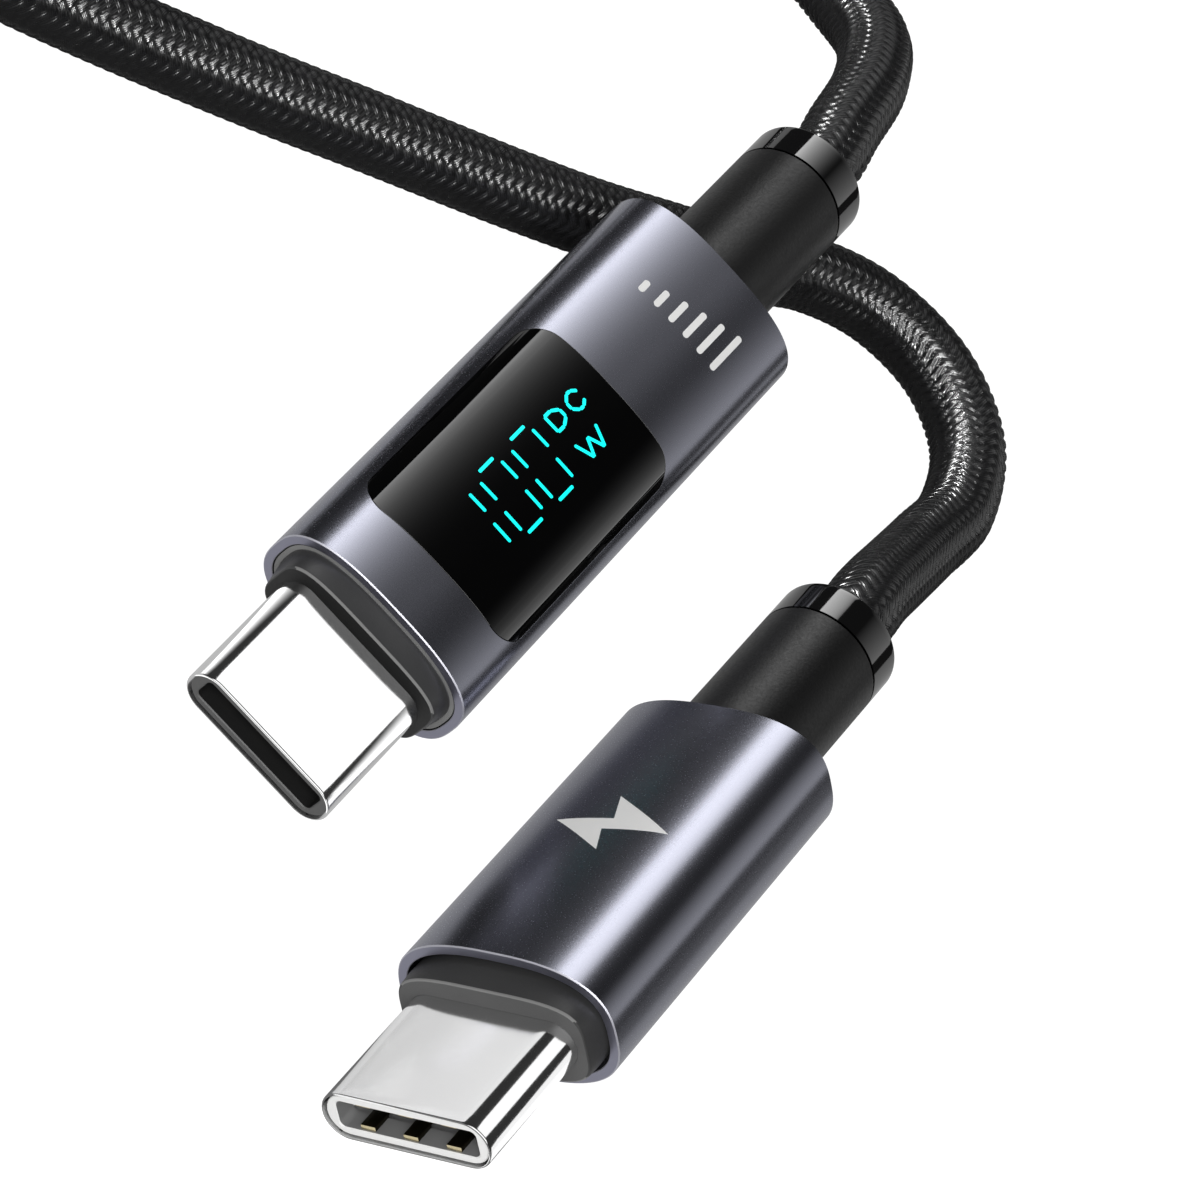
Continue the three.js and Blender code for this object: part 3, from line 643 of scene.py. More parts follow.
def braid_material():
    """Black nylon: each yarn is a few glossy ends side by side, with dark gaps between the yarns; the colour
    is also darkened at the edges of each end, a painted shade in the grooves.
    """
    n = Nodes("braid")
    n.set(Specular_IOR_Level=0.5, IOR=1.5)
    uv = n.add("ShaderNodeUVMap", uv_map="yarns").outputs["UV"]
    parts = n.add("ShaderNodeSeparateXYZ")
    n.link(uv, parts.inputs[0])
    u, v = parts.outputs[0], parts.outputs[1]
    p, q = n.math("ADD", u, v), n.math("SUBTRACT", u, v)
    i, j = n.math("FLOOR", p), n.math("FLOOR", q)
    cell = n.math("FLOORED_MODULO", n.math("SUBTRACT", i, j), 4.0)
    first = n.math("LESS_THAN", cell, 1.5)
    second = n.math("SUBTRACT", 1.0, first)
    across = n.math("ADD", n.math("MULTIPLY", first, n.math("SUBTRACT", p, i)),
                    n.math("MULTIPLY", second, n.math("SUBTRACT", q, j)))
    ends = n.math("ABSOLUTE", n.math("SINE", n.math("MULTIPLY", across, math.pi * 5)))
    wander = n.noise(2.2, 2.0)
    hair = n.noise(9.0, 3.0)
    height = n.math("ADD", n.math("MULTIPLY", ends, 0.6), n.math("MULTIPLY", hair, 0.3))
    n.bump(height, 0.012)
    n.link(n.ramp(wander, 0.2, 0.3), n.shader.inputs["Roughness"])
    # painted shade: the colour darkens towards each end's edges, where the bump is lowest, and the slow noise
    # adds a random tone on top
    tone = n.math("MULTIPLY", ends, n.ramp(wander, 0.6, 1.0))
    n.colour(tone, (0.001, 0.001, 0.001), (0.004, 0.004, 0.0043))
    return n.material


BRAID = braid_material()
meter_part = line_length(catmull_rom(route[:2 + len(METER_ROUTE) + 3]))
far_part = line_length(catmull_rom(route[-(len(FAR_ROUTE) + 4):]))
FINE, COARSE = 4, 2  # points per yarn near the plugs and in the coil
coil_part = CORD_LENGTH - meter_part - far_part
cord = braided_tube("cable_braid", fine_line, [(meter_part, FINE), (coil_part, COARSE), (far_part + 5, FINE)])
put(cord, BRAID, "black_braid", "cable_meter_end", "cable_coil", "cable_far_end")


# ---- plug front ----

def shell(prefix, place):
    """The plug's shell, with its drawn, rounded front edge."""
    wall, outer_round = SHELL_WALL, 0.1
    inner_round = wall - outer_round

    def at_depth(less):
        return stadium(SHELL_HALF_WIDTH - less, SHELL_HALF_HEIGHT - less, 128)

    lip = [(at_depth(outer_round - s), outer_round + c) for c, s in rounded(outer_round, 180, 90, 5)]
    body = [(at_depth(0), y) for y in (0.6, 3, 6, 9, SHELL_BACK)]
    hole = [(at_depth(wall), y) for y in (SHELL_BACK, 5, 1)]
    lip_inside = [(at_depth(wall - inner_round), inner_round)]
    made = mesh_object(f"{prefix}_shell_chrome", *rings(lip + body + hole + lip_inside), place)
    return put(made, NICKEL, "nickel_plate", f"{prefix}_plug_shell")


def insulator(prefix, place, material, inside, slot):
    """The moulded body in the shell, with the slot that takes the socket's tongue."""
    count, front, back, lead = 96, 0.12, 7.2, 0.05
    slot_half_width, slot_half_height = 3.42, 0.66
    full = (SHELL_HALF_WIDTH - SHELL_WALL - 0.015, SHELL_HALF_HEIGHT - SHELL_WALL - 0.015)

    def mouth(more, corner=0.3):
        return outline("rounded", slot_half_width + more, slot_half_height + more, corner, count)

    sections = [
        (mouth(0), 1.2), (mouth(0), front + lead), (mouth(lead), front),
        (stadium(full[0] - lead, full[1] - lead, count), front), (stadium(*full, count), front + lead),
        (stadium(*full, count), back), (mouth(0.12, 0.4), back), (mouth(0.12, 0.4), 1.25)]
    made = mesh_object(f"{prefix}_tongue_slot", *rings(sections), place)
    put(made, material, slot, f"{prefix}_plug_insulator")
    # painted shade: the slot's faces behind the mouth get a darker copy of the moulding
    return finish_faces(made, place, inside, lambda at, normal: (
        at.y > front + lead + 0.01 and abs(at.x) < 3.5 and abs(at.z) < slot_half_height + 0.2))


def finish_faces(piece, place, material, wanted):
    """Gives one more material to the faces that wanted() picks by centre in mm and normal, both in the
    frame of place."""
    piece.data.materials.append(material)
    index = len(piece.data.materials) - 1
    into, spin = place.inverted(), place.to_3x3().inverted()
    for face in piece.data.polygons:
        if wanted(into @ (face.center / MM), spin @ face.normal):
            face.material_index = index
    return piece


def side_box(side, left, right, front, back, near, far, bevel):
    """A box between two heights, upwards for side 1 and downwards for side -1."""
    return box_mesh(left, right, front, back, *sorted((side * near, side * far)), bevel)


def spring_fingers(prefix, place, side, front):
    """Three shield spring fingers on one bar; their tips stand in the mouth from front on."""
    parts = []
    low, high = (-0.655, -0.43) if side < 0 else (0.55, 0.655)
    for i in (-1, 0, 1):
        x = i * 2.1
        parts.append(box_mesh(x - 0.36, x + 0.36, front, front + 1, low, high, 0.02))
        parts.append(side_box(side, x - 0.3, x + 0.3, front + 0.95, 3.2, 0.5, 0.62, 0.02))
    parts.append(side_box(side, -2.46, 2.46, 2.9, 3.3, 0.49, 0.625, 0.02))
    level = "upper" if side > 0 else "lower"
    made = mesh_object(f"{prefix}_{level}_spring_tips", *together(*parts), place)
    put(made, GOLD, "gold_plate", f"{prefix}_emi_spring_{level}")
    # painted shade: every face of the tips but the front ones gets the dark copy of the gold
    return finish_faces(made, place, GOLD_PAINTED_SHADE, lambda at, normal: normal.y > -0.5)


def contact_blades(prefix, place, side):
    """Twelve contact blades with a rounded, raised touching point each, and the bar that joins them."""
    parts = []
    for i in range(12):
        x = (i - 5.5) * 0.5
        parts.append(side_box(side, x - 0.125, x + 0.125, 3.8, 9.6, 0.52, 0.62, 0.02))
        parts.append(side_box(side, x - 0.1, x + 0.1, 4.1, 4.7, 0.44, 0.54, 0.04))
    parts.append(side_box(side, -2.87, 2.87, 6.2, 6.6, 0.515, 0.625, 0.02))
    level = "upper" if side > 0 else "lower"
    made = mesh_object(f"{prefix}_{level}_blades", *together(*parts), place)
    return put(made, GOLD, "gold_plate", f"{prefix}_contacts_{level}")


def nose(prefix, place, sleeve, ledge, material, painted_front_tone):
    """The plastic nose that holds the shell: it narrows to its bevelled front, and ends at a ledge in the
    sleeve."""
    count, front, back, step = 160, 6.85, 10.6, 0.03
    bevel_back, taper_back = front + 0.16, min(8.1, ledge - 0.1)

    def shape(share, less=0.0):
        return outline("superellipse", 4.6 + 0.2 * share - less, 2.1 + 0.3 * share - less,
                       4.0 - 1.2 * share, count)

    bore = stadium(SHELL_HALF_WIDTH + 0.004, SHELL_HALF_HEIGHT + 0.004, count)
    inner = superellipse(sleeve, SLEEVE_WALL + 0.02, count)
    bevel = ((0.1, 0), (0.09, 0.003), (0.035, 0.04), (0.01, 0.1))
    sections = [(bore, back), (bore, front)] + [(shape(0, less), front + y) for less, y in bevel]
    sections += [(shape(t), bevel_back + (taper_back - bevel_back) * t ** 0.8) for t in np.linspace(0, 1, 6)]
    sections += [(shape(1), ledge - step), (shape(1, -step), ledge),
                 (superellipse(sleeve, SLEEVE_WALL + 0.06, count), ledge), (inner, ledge + 0.05),
                 (inner, back)]
    made = mesh_object(f"{prefix}_nose", *rings(sections), place)
    put(made, material, "dark_plastic", f"{prefix}_front_insert")
    # painted light: the ledge face gets the lighter plastic, to lift it out of the shade in its groove
    finish_faces(made, place, PLASTIC_PAINTED_LIGHT,
                 lambda at, normal: normal.y < -0.9 and abs(at.y - ledge) < 0.05)
    # painted highlight: the bevel faces along the nose's upper and lower front edge get the lighter plastic
    finish_faces(made, place, PLASTIC_PAINTED_LIGHT, lambda at, normal: (
        -0.95 < normal.y < -0.3 and at.y < front + 0.09 and abs(at.z) > 1.4))
    # the front face gets its own copy of the plastic: a darker one on the meter nose, a painted shade, and a
    # lighter one on the far nose, a painted light
    return finish_faces(made, place, painted_front_tone,
                        lambda at, normal: normal.y < -0.95 and at.y < front + 0.02)


# ---- sleeves and display ----

IN_MM = Matrix.Scale(1 / MM, 4)  # keeps a piece in its own frame, in mm, until placed() moves it


def sleeve_body(name, sleeve):
    """The anodised tube with its turned, polished end bevels, in its own frame."""
    back, bevel, edge = sleeve["back"], 0.055, 0.03
    ends = ((SLEEVE_WALL, edge), (SLEEVE_WALL - edge, 0), (bevel, 0), (0, bevel))
    sections = [(superellipse(sleeve, less), SLEEVE_FRONT + y) for less, y in ends]
    sections += [(superellipse(sleeve), y) for y in np.linspace(SLEEVE_FRONT + 0.6, back - 0.6, 24)]
    sections += [(superellipse(sleeve, less), back - y) for less, y in ends[::-1]]
    return mesh_object(name, *rings(sections), IN_MM)


def surface_height(sleeve, x):
    """Height of the sleeve's outer face over its own middle, at x."""
    part = np.clip(np.abs(x) / sleeve["half_width"], 0, 1) ** sleeve["exponent"]
    return sleeve["half_height"] * (1 - part) ** (1 / sleeve["exponent"])


def rounded_rectangle(left, right, front, back, radius):
    """A closed outline with the same number of points whatever its size."""
    per_corner, per_side = 10, 36
    corners = [(right - radius, back - radius, 0), (left + radius, back - radius, 90),
               (left + radius, front + radius, 180), (right - radius, front + radius, 270)]
    arcs = [[(x + radius * math.cos(math.radians(a)), y + radius * math.sin(math.radians(a)))
             for a in np.linspace(start, start + 90, per_corner + 1)] for x, y, start in corners]
    made = []
    for arc, following in zip(arcs, arcs[1:] + arcs[:1]):
        (x0, y0), (x1, y1) = arc[-1], following[0]
        made += arc
        made += [(x0 + (x1 - x0) * i / per_side, y0 + (y1 - y0) * i / per_side) for i in range(1, per_side)]
    return made


WINDOW_HALF, WINDOW_FRONT, WINDOW_BACK, WINDOW_CORNER = 4.78, 11.35, 25.6, 1.45


def window_cutter(less, flare, name):
    """A prism of the window's outline, drawn in by less. As it passes the outer face it widens at 45 degrees
    by twice the flare, or narrows where that is negative."""
    def ring(grow, height):
        shape = rounded_rectangle(-WINDOW_HALF + less - grow, WINDOW_HALF - less + grow,
                                  WINDOW_FRONT + less - grow, WINDOW_BACK - less + grow, WINDOW_CORNER + grow)
        return [(x, y, height(x)) for x, y in shape]

    levels = [ring(0, lambda x: 0.6),
              ring(0, lambda x: surface_height(METER_SLEEVE, x) - abs(flare)),
              ring(2 * flare, lambda x: surface_height(METER_SLEEVE, x) + abs(flare)),
              ring(2 * flare, lambda x: 5.0)]
    count = len(levels[0])
    verts = [v for level in levels for v in level]
    ends = [tuple(range(count))[::-1], tuple(range(3 * count, 4 * count))]
    return mesh_object(name, verts, ends + joined(len(levels), count, closed=False), IN_MM)


def placed(piece, place):
    """Moves a piece built in its own frame in mm to the row frame."""
    piece.data.transform(Matrix.Scale(MM, 4) @ place)
    smoothed(piece.data)
    return piece


def cut_faces(piece, place):
    """Gives the front end its brighter turned face and edge."""
    finish_faces(piece, place, ANODISED_CUT,
                 lambda at, normal: normal.y < -0.9 and at.y < SLEEVE_FRONT + 0.02)
    finish_faces(piece, place, ANODISED_EDGE,
                 lambda at, normal: -0.9 < normal.y < -0.3 and at.y < SLEEVE_FRONT + 0.1)


def meter_sleeve():
    body = sleeve_body("sleeve_body", METER_SLEEVE)
    made = boolean(body, window_cutter(0.0, 0.008, "sleeve_cutter"), "DIFFERENCE", "meter_sleeve_shell")
    put(placed(made, METER), ANODISED, "anodised_aluminium", "meter_sleeve")
    cut_faces(made, METER)
    # painted shade: the cut wall round the window's opening gets the dark plastic, to stand for the shadow in
    # it
    return finish_faces(made, METER, DARK_PLASTIC_AND_SHADE, lambda at, normal: (
        (abs(normal.y) > 0.2 or abs(normal.z) < 0.3) and at.z > 0.6
        and abs(at.x) < WINDOW_HALF + 0.02 and WINDOW_FRONT - 0.02 < at.y < WINDOW_BACK + 0.02))


def display_window():
    """The glossy window, flush with the sleeve's outer face."""
    outer, inner = superellipse(METER_SLEEVE), superellipse(METER_SLEEVE, SLEEVE_WALL - 0.02)
    sections = [(outer, 10.0), (outer, 27.0), (inner, 27.0), (inner, 10.0)]
    slab = mesh_object("window_slab", *rings(sections), IN_MM)
    made = boolean(slab, window_cutter(0.02, -0.008, "window_cutter"), "INTERSECT", "display_glass_cover")
    return put(placed(made, METER), WINDOW, "display_glass", "meter_display_window")


def inlay(name, polygons, sleeve, place, material, slot, height=0.012):
    """Thin raised shapes on a sleeve's upper face. Each polygon is in (x, Y); it is sliced at steps of x
    so that it follows the curve."""
    depth, step = 0.05, 0.2
    made = bmesh.new()
    for polygon in polygons:
        made.faces.new([made.verts.new((x, y, 0)) for x, y in polygon])
    reach = max(abs(v.co.x) for v in made.verts) + step
    for cut in np.arange(-reach, reach, step):
        bmesh.ops.bisect_plane(made, geom=list(made.verts) + list(made.edges) + list(made.faces),
                               plane_co=(float(cut), 0, 0), plane_no=(1, 0, 0))
    raised = bmesh.ops.extrude_face_region(made, geom=list(made.faces))
    upper = {v for v in raised["geom"] if isinstance(v, bmesh.types.BMVert)}
    for v in made.verts:
        lift = height if v in upper else -depth
        v.co.z = float(surface_height(sleeve, v.co.x)) + lift
    bmesh.ops.recalc_face_normals(made, faces=made.faces)
    return put(mesh_object(name, *taken_from(made), place), material, slot)


def bar(x0, y0, x1, y1, width, end):
    """A straight stroke with rounded ends; end is the corners' share of half the width."""
    along = Vector((x1 - x0, y1 - y0)).normalized()
    across = Vector((-along.y, along.x))
    radius = end * width / 2
    made = []
    for sign_along, sign_across, start in ((1, 1, 0), (-1, 1, 1), (-1, -1, 2), (1, -1, 3)):
        tip = Vector((x1, y1)) if sign_along > 0 else Vector((x0, y0))
        centre = tip - along * sign_along * radius + across * sign_across * (width / 2 - radius)
        for a in np.linspace(0, 90, 5):
            angle = math.radians(a + 90 * start)
            made.append(tuple(centre + along * radius * math.cos(angle) + across * radius * math.sin(angle)))
    return made


def display_segments():
    """A reading of 100 in separate lit segments, which lean a little, as on any such meter."""
    upper, lower, top, bottom = (-1.3, -0.25), (0.35, 1.46), -1.66, 1.75
    lean, digit_width = 0.13, 1.7

    def upright(y):
        return [((upper[0], y), (upper[1], y)), ((lower[0], y - lean), (lower[1], y - lean))]

    strokes = upright(15.3)
    for left in (16.2, 18.75):
        strokes += upright(left) + upright(left + digit_width)
        strokes += [((top, left + 0.37), (top, left + 1.5)), ((bottom, left + 0.07), (bottom, left + 1.22))]
    shapes = [bar(*a, *b, 0.17, 0.9) for a, b in strokes]
    return inlay("display_digits", shapes, METER_SLEEVE, METER, LIT, "display_glass")


def display_units():
    """A small DC and, under it, a small W: the kind of current and the unit."""
    top, bottom, left = -1.3, -0.38, 21.45
    d = [(top, left), (top, left + 0.5), (top + 0.25, left + 0.95), (bottom - 0.25, left + 0.95),
         (bottom, left + 0.5), (bottom, left), (top, left)]
    left = 22.95
    c = [(top + 0.22, left + 0.98), (top, left + 0.65), (top, left + 0.35), (top + 0.28, left),
         (bottom - 0.28, left), (bottom, left + 0.35), (bottom, left + 0.65), (bottom - 0.22, left + 0.98)]
    top, bottom, left, quarter = 0.55, 1.56, 21.6, 0.44
    w = [(top, left), (bottom, left + quarter), (top + 0.15, left + 2 * quarter),
         (bottom, left + 3 * quarter), (top, left + 4 * quarter)]
    shapes = [bar(*a, *b, 0.17, 0.95) for letter in (d, c, w) for a, b in zip(letter[:-1], letter[1:])]
    return inlay("display_units", shapes, METER_SLEEVE, METER, LIT, "display_glass", height=0.0125)


def level_mark():
    """A printed mark of rising bars, in place of the printed word."""
    shapes = []
    for k in range(6):
        x = 2.65 - 0.97 * k
        shapes.append(bar(x, 30.9, x, 33.6 - 0.38 * k, 0.34, 0.95))
    return inlay("level_mark", shapes, METER_SLEEVE, METER, INK, "display_white", height=0.008)


def bolt_mark():
    """A printed lightning bolt on the far plug."""
    x, y, size = 0.05, 17.5, 1.6
    points = [(-1.6, -0.1), (0.25, -1.1), (-0.1, -0.22), (1.7, 0.2), (-0.35, 1.25), (0.0, 0.28)]
    polygon = [(x + size * a, y + size * b) for a, b in points]
    return inlay("bolt_mark", [polygon], FAR_SLEEVE, FAR, INK, "display_white", height=0.008)


# ---- boots and collars ----

def boot(prefix, place, sleeve):
    """The strain relief: a soft post out of a flange that fills the sleeve's end."""
    back = sleeve["back"]
    end = back + BOOT_LENGTH
    fillet = 0.25
    profile = [(1.97, end), (2.85, end), (2.97, end - 0.03), (BOOT_RADIUS, end - 0.12)]
    profile += [(BOOT_RADIUS, y) for y in np.linspace(end - 0.6, back + 0.6, 10)]
    profile += [(BOOT_RADIUS, back + fillet), (BOOT_RADIUS - 0.01, back - 0.06), (1.97, back - 0.06)]
    post = lathe(profile)
    flange_shape = superellipse(sleeve, SLEEVE_WALL + 0.02, 160)
    rim = superellipse(sleeve, SLEEVE_WALL + 0.1, 160)
    hole = outline("superellipse", 2.9, 2.6, 2.0, 160)
    flange = rings([(hole, back - 2.4), (flange_shape, back - 2.4), (flange_shape, back - 0.1),
                    (rim, back - 0.02), (hole, back - 0.02)])
    made = mesh_object(f"{prefix}_boot", *together(post, flange), place)
    return put(made, BOOT, "boot_rubber", f"{prefix}_strain_relief")


def collar(prefix, place, sleeve):
    """The gloss ring at the boot's end."""
    front = sleeve["back"] + BOOT_LENGTH + 0.02
    back = front + COLLAR_LENGTH - 0.02
    edge = 0.09
    profile = [(2.0, front), (BOOT_RADIUS - 0.01, front), (BOOT_RADIUS, front + 0.01)]
    profile += [(BOOT_RADIUS, y) for y in np.linspace(front + 0.3, back - 0.3, 4)]
    profile += [(BOOT_RADIUS - edge + s, back - edge + c) for c, s in rounded(edge, 90, 0, 4)]
    profile += [(2.2, back), (2.06, back - 0.06), (2.0, back - 0.2)]
    made = mesh_object(f"{prefix}_gloss_collar", *lathe(profile), place)
    return put(made, COLLAR, "gloss_collar", f"{prefix}_boot_collar")


# ---- straps ----

def strap(name, degrees, inside, outside, node):
    """A hook-and-loop strap round the coil's turns."""
    def smooth_loop(points, radius):
        made = []
        for before, here, after in zip(points[-1:] + points[:-1], points, points[1:] + points[:1]):
            here, before, after = np.array(here, float), np.array(before, float), np.array(after, float)
            a = here + (before - here) / np.linalg.norm(before - here) * radius
            b = here + (after - here) / np.linalg.norm(after - here) * radius
            for t in np.linspace(0, 1, 5):
                made.append(tuple((1 - t) ** 2 * a + 2 * t * (1 - t) * here + t * t * b))
        return made

    inner, outer = smooth_loop(inside, 0.5), smooth_loop(outside, 0.9)
    count = len(inner)
    half, edge = 4.5, 0.15
    across = [(-half, 1), (-half + edge, 0), (half - edge, 0), (half, 1)]
    verts = []
    for face, other, order in ((outer, inner, across), (inner, outer, across[::-1])):
        for t, pinch in order:
            for a, b in zip(np.array(face), np.array(other)):
                verts.append((*(a + (b - a) * 0.25 * pinch), t))
    place = (Matrix.Translation((COIL_X, COIL_Y, 0)) @ turn(degrees, "Z")
             @ Matrix(((1, 0, 0, 0), (0, 0, -1, 0), (0, 1, 0, 0), (0, 0, 0, 1))))
    made = mesh_object(name, verts, joined(2 * len(across), count), place, 40)
    return put(made, STRAP, "strap_fabric", node)


def both_straps():
    """One strap round the six turns, and one where the last part turn lies beside them as well."""
    wrap, inner, outer, top = 0.8, 15.3, 27.5, 8.55
    edge, edge_top = LAST_TURN + CABLE_RADIUS + 0.1, COIL_LOW + CABLE_RADIUS + 0.1
    near_inside = [(inner, wrap), (outer, wrap), (outer, top), (inner, top)]
    near_outside = [(inner - wrap, 0), (outer + wrap, 0), (outer + wrap, top + wrap),
                    (inner - wrap, top + wrap)]
    far_inside = [(inner, wrap), (edge, wrap), (edge, edge_top), (outer + 0.3, top), (inner, top)]
    far_outside = [(inner - wrap, 0), (edge + wrap, 0), (edge + wrap, edge_top + 0.2),
                   (outer + 0.7, top + wrap), (inner - wrap, top + wrap)]
    return [strap("strap_near", 12, near_inside, near_outside, "coil_tie_near"),
            strap("strap_far", 195, far_inside, far_outside, "coil_tie_far")]


straps = both_straps()

# ---- both plugs ----

far_pieces = []
for prefix, place, sleeve, ledge, spring_front, plastic, front_face_paint, moulding, inside, slot in (
        ("meter", METER, METER_SLEEVE, 8.06, 1.5, DARK_PLASTIC_AND_SHADE, NOSE_FRONT_PAINTED_SHADE, DARK_INSULATOR, SLOT_PAINTED_SHADE_BLACK,
         "dark_insulator"),
        ("far", FAR, FAR_SLEEVE, 9.5, 0.24, FAR_PLASTIC, FAR_FRONT_PAINTED_LIGHT, PALE_INSULATOR, SLOT_PAINTED_SHADE_GREY,
         "pale_insulator")):
    made = [shell(prefix, place), insulator(prefix, place, moulding, inside, slot)]
    made += [spring_fingers(prefix, place, side, spring_front) for side in (-1, 1)]
    made += [contact_blades(prefix, place, side) for side in (-1, 1)]
    made += [nose(prefix, place, sleeve, ledge, plastic, front_face_paint)]
    made += [boot(prefix, place, sleeve), collar(prefix, place, sleeve)]
    if prefix == "far":
        far_pieces += made
meter_sleeve()
display_window()
display_segments()
display_units()
level_mark()
far_sleeve = placed(sleeve_body("far_sleeve_shell", FAR_SLEEVE), FAR)
put(far_sleeve, ANODISED, "anodised_aluminium", "far_sleeve")
cut_faces(far_sleeve, FAR)
far_pieces += [far_sleeve, bolt_mark()]

# ---- CAD nodes that stay, most of them inside ----

INSIDE_FINISH = {
    "latch_plate": SPRING_STEEL, "board": BOARD, "chip": CHIP, "shunt": CHIP, "display_module": WHITE_FILM,
    "diffuser": WHITE_FILM, "chassis": DARK_PLASTIC_AND_SHADE, "inner_mould": DARK_PLASTIC_AND_SHADE, "crimp": COPPER,
    "cable_tail": COLLAR, **WIRES}
for name, node in frame["nodes"].items():
    for key, material in INSIDE_FINISH.items():
        if key in name:
            node.data.materials.clear()
            node.data.materials.append(material)

# ---- floor, lights and world ----

def shines_on(light, pieces):
    """Links a light to the pieces that it lights."""
    group = bpy.data.collections.new(light.name + "_lights")
    for piece in pieces:
        group.objects.link(piece)
    light.light_linking.receiver_collection = group


def meshes_but(without):
    return [piece for piece in bpy.context.scene.objects if piece.type == "MESH" and piece not in without]


def floor(without):
    """A white floor that gives the part less light than it shows to the camera."""
    n = Nodes("floor")
    n.set(Roughness=0.85, Specular_IOR_Level=0.1, Emission_Color=(1, 1, 1, 1))
    n.colour(n.noise(0.01, 2.0), (0.17, 0.17, 0.17), (0.19, 0.19, 0.19))
    seen = n.add("ShaderNodeLightPath").outputs["Is Camera Ray"]
    n.link(n.math("ADD", n.math("MULTIPLY", seen, 0.6), 0.38), n.shader.inputs["Emission Strength"])
    half = 1500
    corners = [(-half, -half, 0), (half, -half, 0), (half, half, 0), (-half, half, 0)]
    made = mesh_object("floor", corners, [(0, 1, 2, 3)])
    made.data.materials.append(n.material)
    shines_on(made, meshes_but(without))


def fade(lamp, falloff, gain):
    """Dims a lamp across its width, by the falloff power of the way that is left, times the gain."""
    lamp.use_nodes = True
    tree = lamp.node_tree
    parts = tree.nodes.new("ShaderNodeSeparateXYZ")
    tree.links.new(tree.nodes.new("ShaderNodeNewGeometry").outputs["Parametric"], parts.inputs[0])
    value = parts.outputs[0]
    for operation, constant, at in (("SUBTRACT", 1.0, 0), ("POWER", falloff, 1), ("MULTIPLY", gain, 1)):
        step = tree.nodes.new("ShaderNodeMath")
        step.operation = operation
        step.use_clamp = operation == "MULTIPLY"
        step.inputs[at].default_value = constant
        tree.links.new(value, step.inputs[1 - at])
        value = step.outputs[0]
    tree.links.new(value, tree.nodes["Emission"].inputs["Strength"])


def softbox(name, first, last, distance, length, radiance, falloff=0.0, gain=1.0, only=None, without=(),
            centre=(0, 0, 0)):
    """A lamp that spans the directions first to last, each (azimuth, elevation) in degrees, at a distance in
    mm from the centre. Its light falls off from first to last; only and without say what it shines on."""
    a, b = degrees_to_unit(*first), degrees_to_unit(*last)
    middle, across = (a + b).normalized(), (b - a).normalized()
    lamp = bpy.data.lights.new(name, "AREA")
    lamp.shape = "RECTANGLE"
    lamp.size, lamp.size_y = 2 * distance * math.tan(a.angle(b) / 2) * MM, length * MM
    lamp.energy = radiance * lamp.size * lamp.size_y * math.pi
    if falloff:
        fade(lamp, falloff, gain)
    made = added(name, lamp)
    spin = Matrix((across, middle.cross(across).normalized(), middle)).transposed().to_4x4()
    made.matrix_world = Matrix.Translation((Vector(centre) + middle * distance) * MM) @ spin
    made.visible_camera = False
    shines_on(made, only or meshes_but(without))


head_shell, far_shell = bpy.data.objects["meter_shell_chrome"], bpy.data.objects["far_shell_chrome"]
both_shells = (head_shell, far_shell)
far_plug = [piece for piece in far_pieces if piece != far_shell]
glass = bpy.data.objects["display_glass_cover"]
floor(without=(cord, far_shell))
softbox("key_left", (-46, 36.5), (20, 58), 450, 420, 4.2, 2.0, without=(*both_shells, *far_plug, glass, cord))
softbox("key_left_far", (-46, 24), (-29, 45), 450, 420, 3.8, 0.4, only=far_plug)
softbox("key_left_glass", (-46, 39.6), (18, 58), 450, 420, 4.4, 3.0, only=[glass])
softbox("key_left_cord", (-50, 27), (-24, 50), 450, 420, 1.2, 0.5, only=[cord])
softbox("key_top_cord", (-158, 71), (158, 71), 450, 240, 27.0, only=[cord])
softbox("key_right", (52, 17), (26, 53), 450, 420, 0.8, 1.0, without=(*both_shells, glass, cord))
softbox("key_right_glass", (52, 16.5), (30, 51), 450, 420, 2.8, 2.0, only=[glass])
softbox("key_right_cord", (54, 12), (34, 44), 450, 420, 1.2, 0.5, only=[cord])
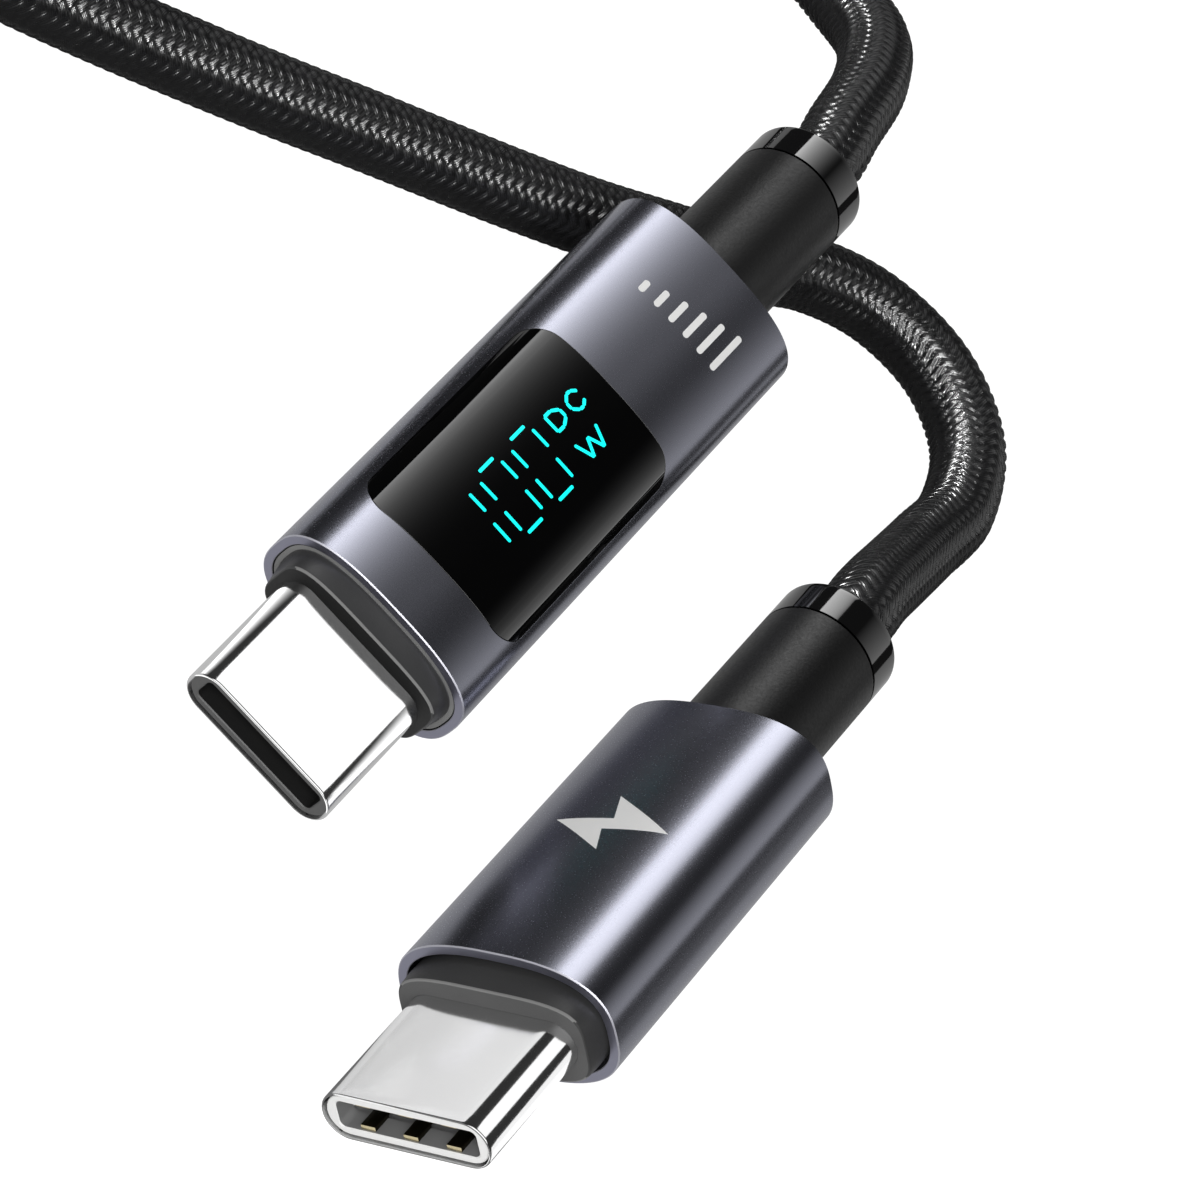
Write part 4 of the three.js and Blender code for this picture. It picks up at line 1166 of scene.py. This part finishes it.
softbox("sparkle_front", (150, 44), (157, 50), 450, 60, 220.0, only=[cord])
softbox("sparkle_left", (-80, 24), (-73, 28), 450, 60, 380.0, only=[cord])
softbox("sparkle_low", (-160, 18), (-152, 22), 450, 60, 150.0, only=[cord])
boots = [piece for piece in bpy.context.scene.objects if piece.name.endswith(("_boot", "_gloss_collar"))]
softbox("fill", (142, 34), (-142, 34), 500, 300, 5.0, without=(*both_shells, *boots, cord))
softbox("fill_shells", (142, 28), (-142, 28), 500, 500, 1.3, only=both_shells)
softbox("head_shell_top", (-45, 43), (43, 45), 470, 440, 1.3, only=[head_shell])
softbox("head_shell_left", (-53, -25), (-53, 28), 3, 10, 1.15, 1.8, 2.6, only=[head_shell],
        centre=(-3.8, -19.9, 3.5))
softbox("head_shell_right", (54, -14), (54, 44), 3, 10, 1.15, 1.5, 2.7, only=[head_shell],
        centre=(3.65, -19.9, 3.5))
softbox("far_shell_top", (-24, 50), (36, 44), 470, 520, 1.15, only=[far_shell])
softbox("far_shell_left", (-51, 40), (-51, -65), 5, 20, 0.92, 0.4, only=[far_shell],
        centre=(13.8, -30.2, 5.4))
softbox("far_shell_right", (53, -50), (53, 17), 6, 20, 1.0, only=[far_shell], centre=(17.3, -30.2, 8.3))
softbox("head_rim", (180, -62), (180, -20), 2.5, 12, 0.9, only=[head_shell], centre=(0, -23.6, 2.6))
softbox("far_rim", (180, -62), (180, -20), 5, 14, 0.9, only=[far_shell], centre=(14.8, -34.0, 4.9))
head_shell.visible_glossy = False  # else the far plug's shell mirrors this one's lamps

world = bpy.data.worlds.new("studio")
bpy.context.scene.world = world
world.use_nodes = True
tree = world.node_tree
ground = tree.nodes["Background"]
ray = tree.nodes.new("ShaderNodeLightPath")
glow = tree.nodes.new("ShaderNodeMapRange")
glow.inputs["To Min"].default_value, glow.inputs["To Max"].default_value = 0.03, 1.0
tree.links.new(ray.outputs["Is Camera Ray"], glow.inputs["Value"])
tree.links.new(glow.outputs["Result"], ground.inputs["Strength"])
ground.inputs["Color"].default_value = (1, 1, 1, 1)
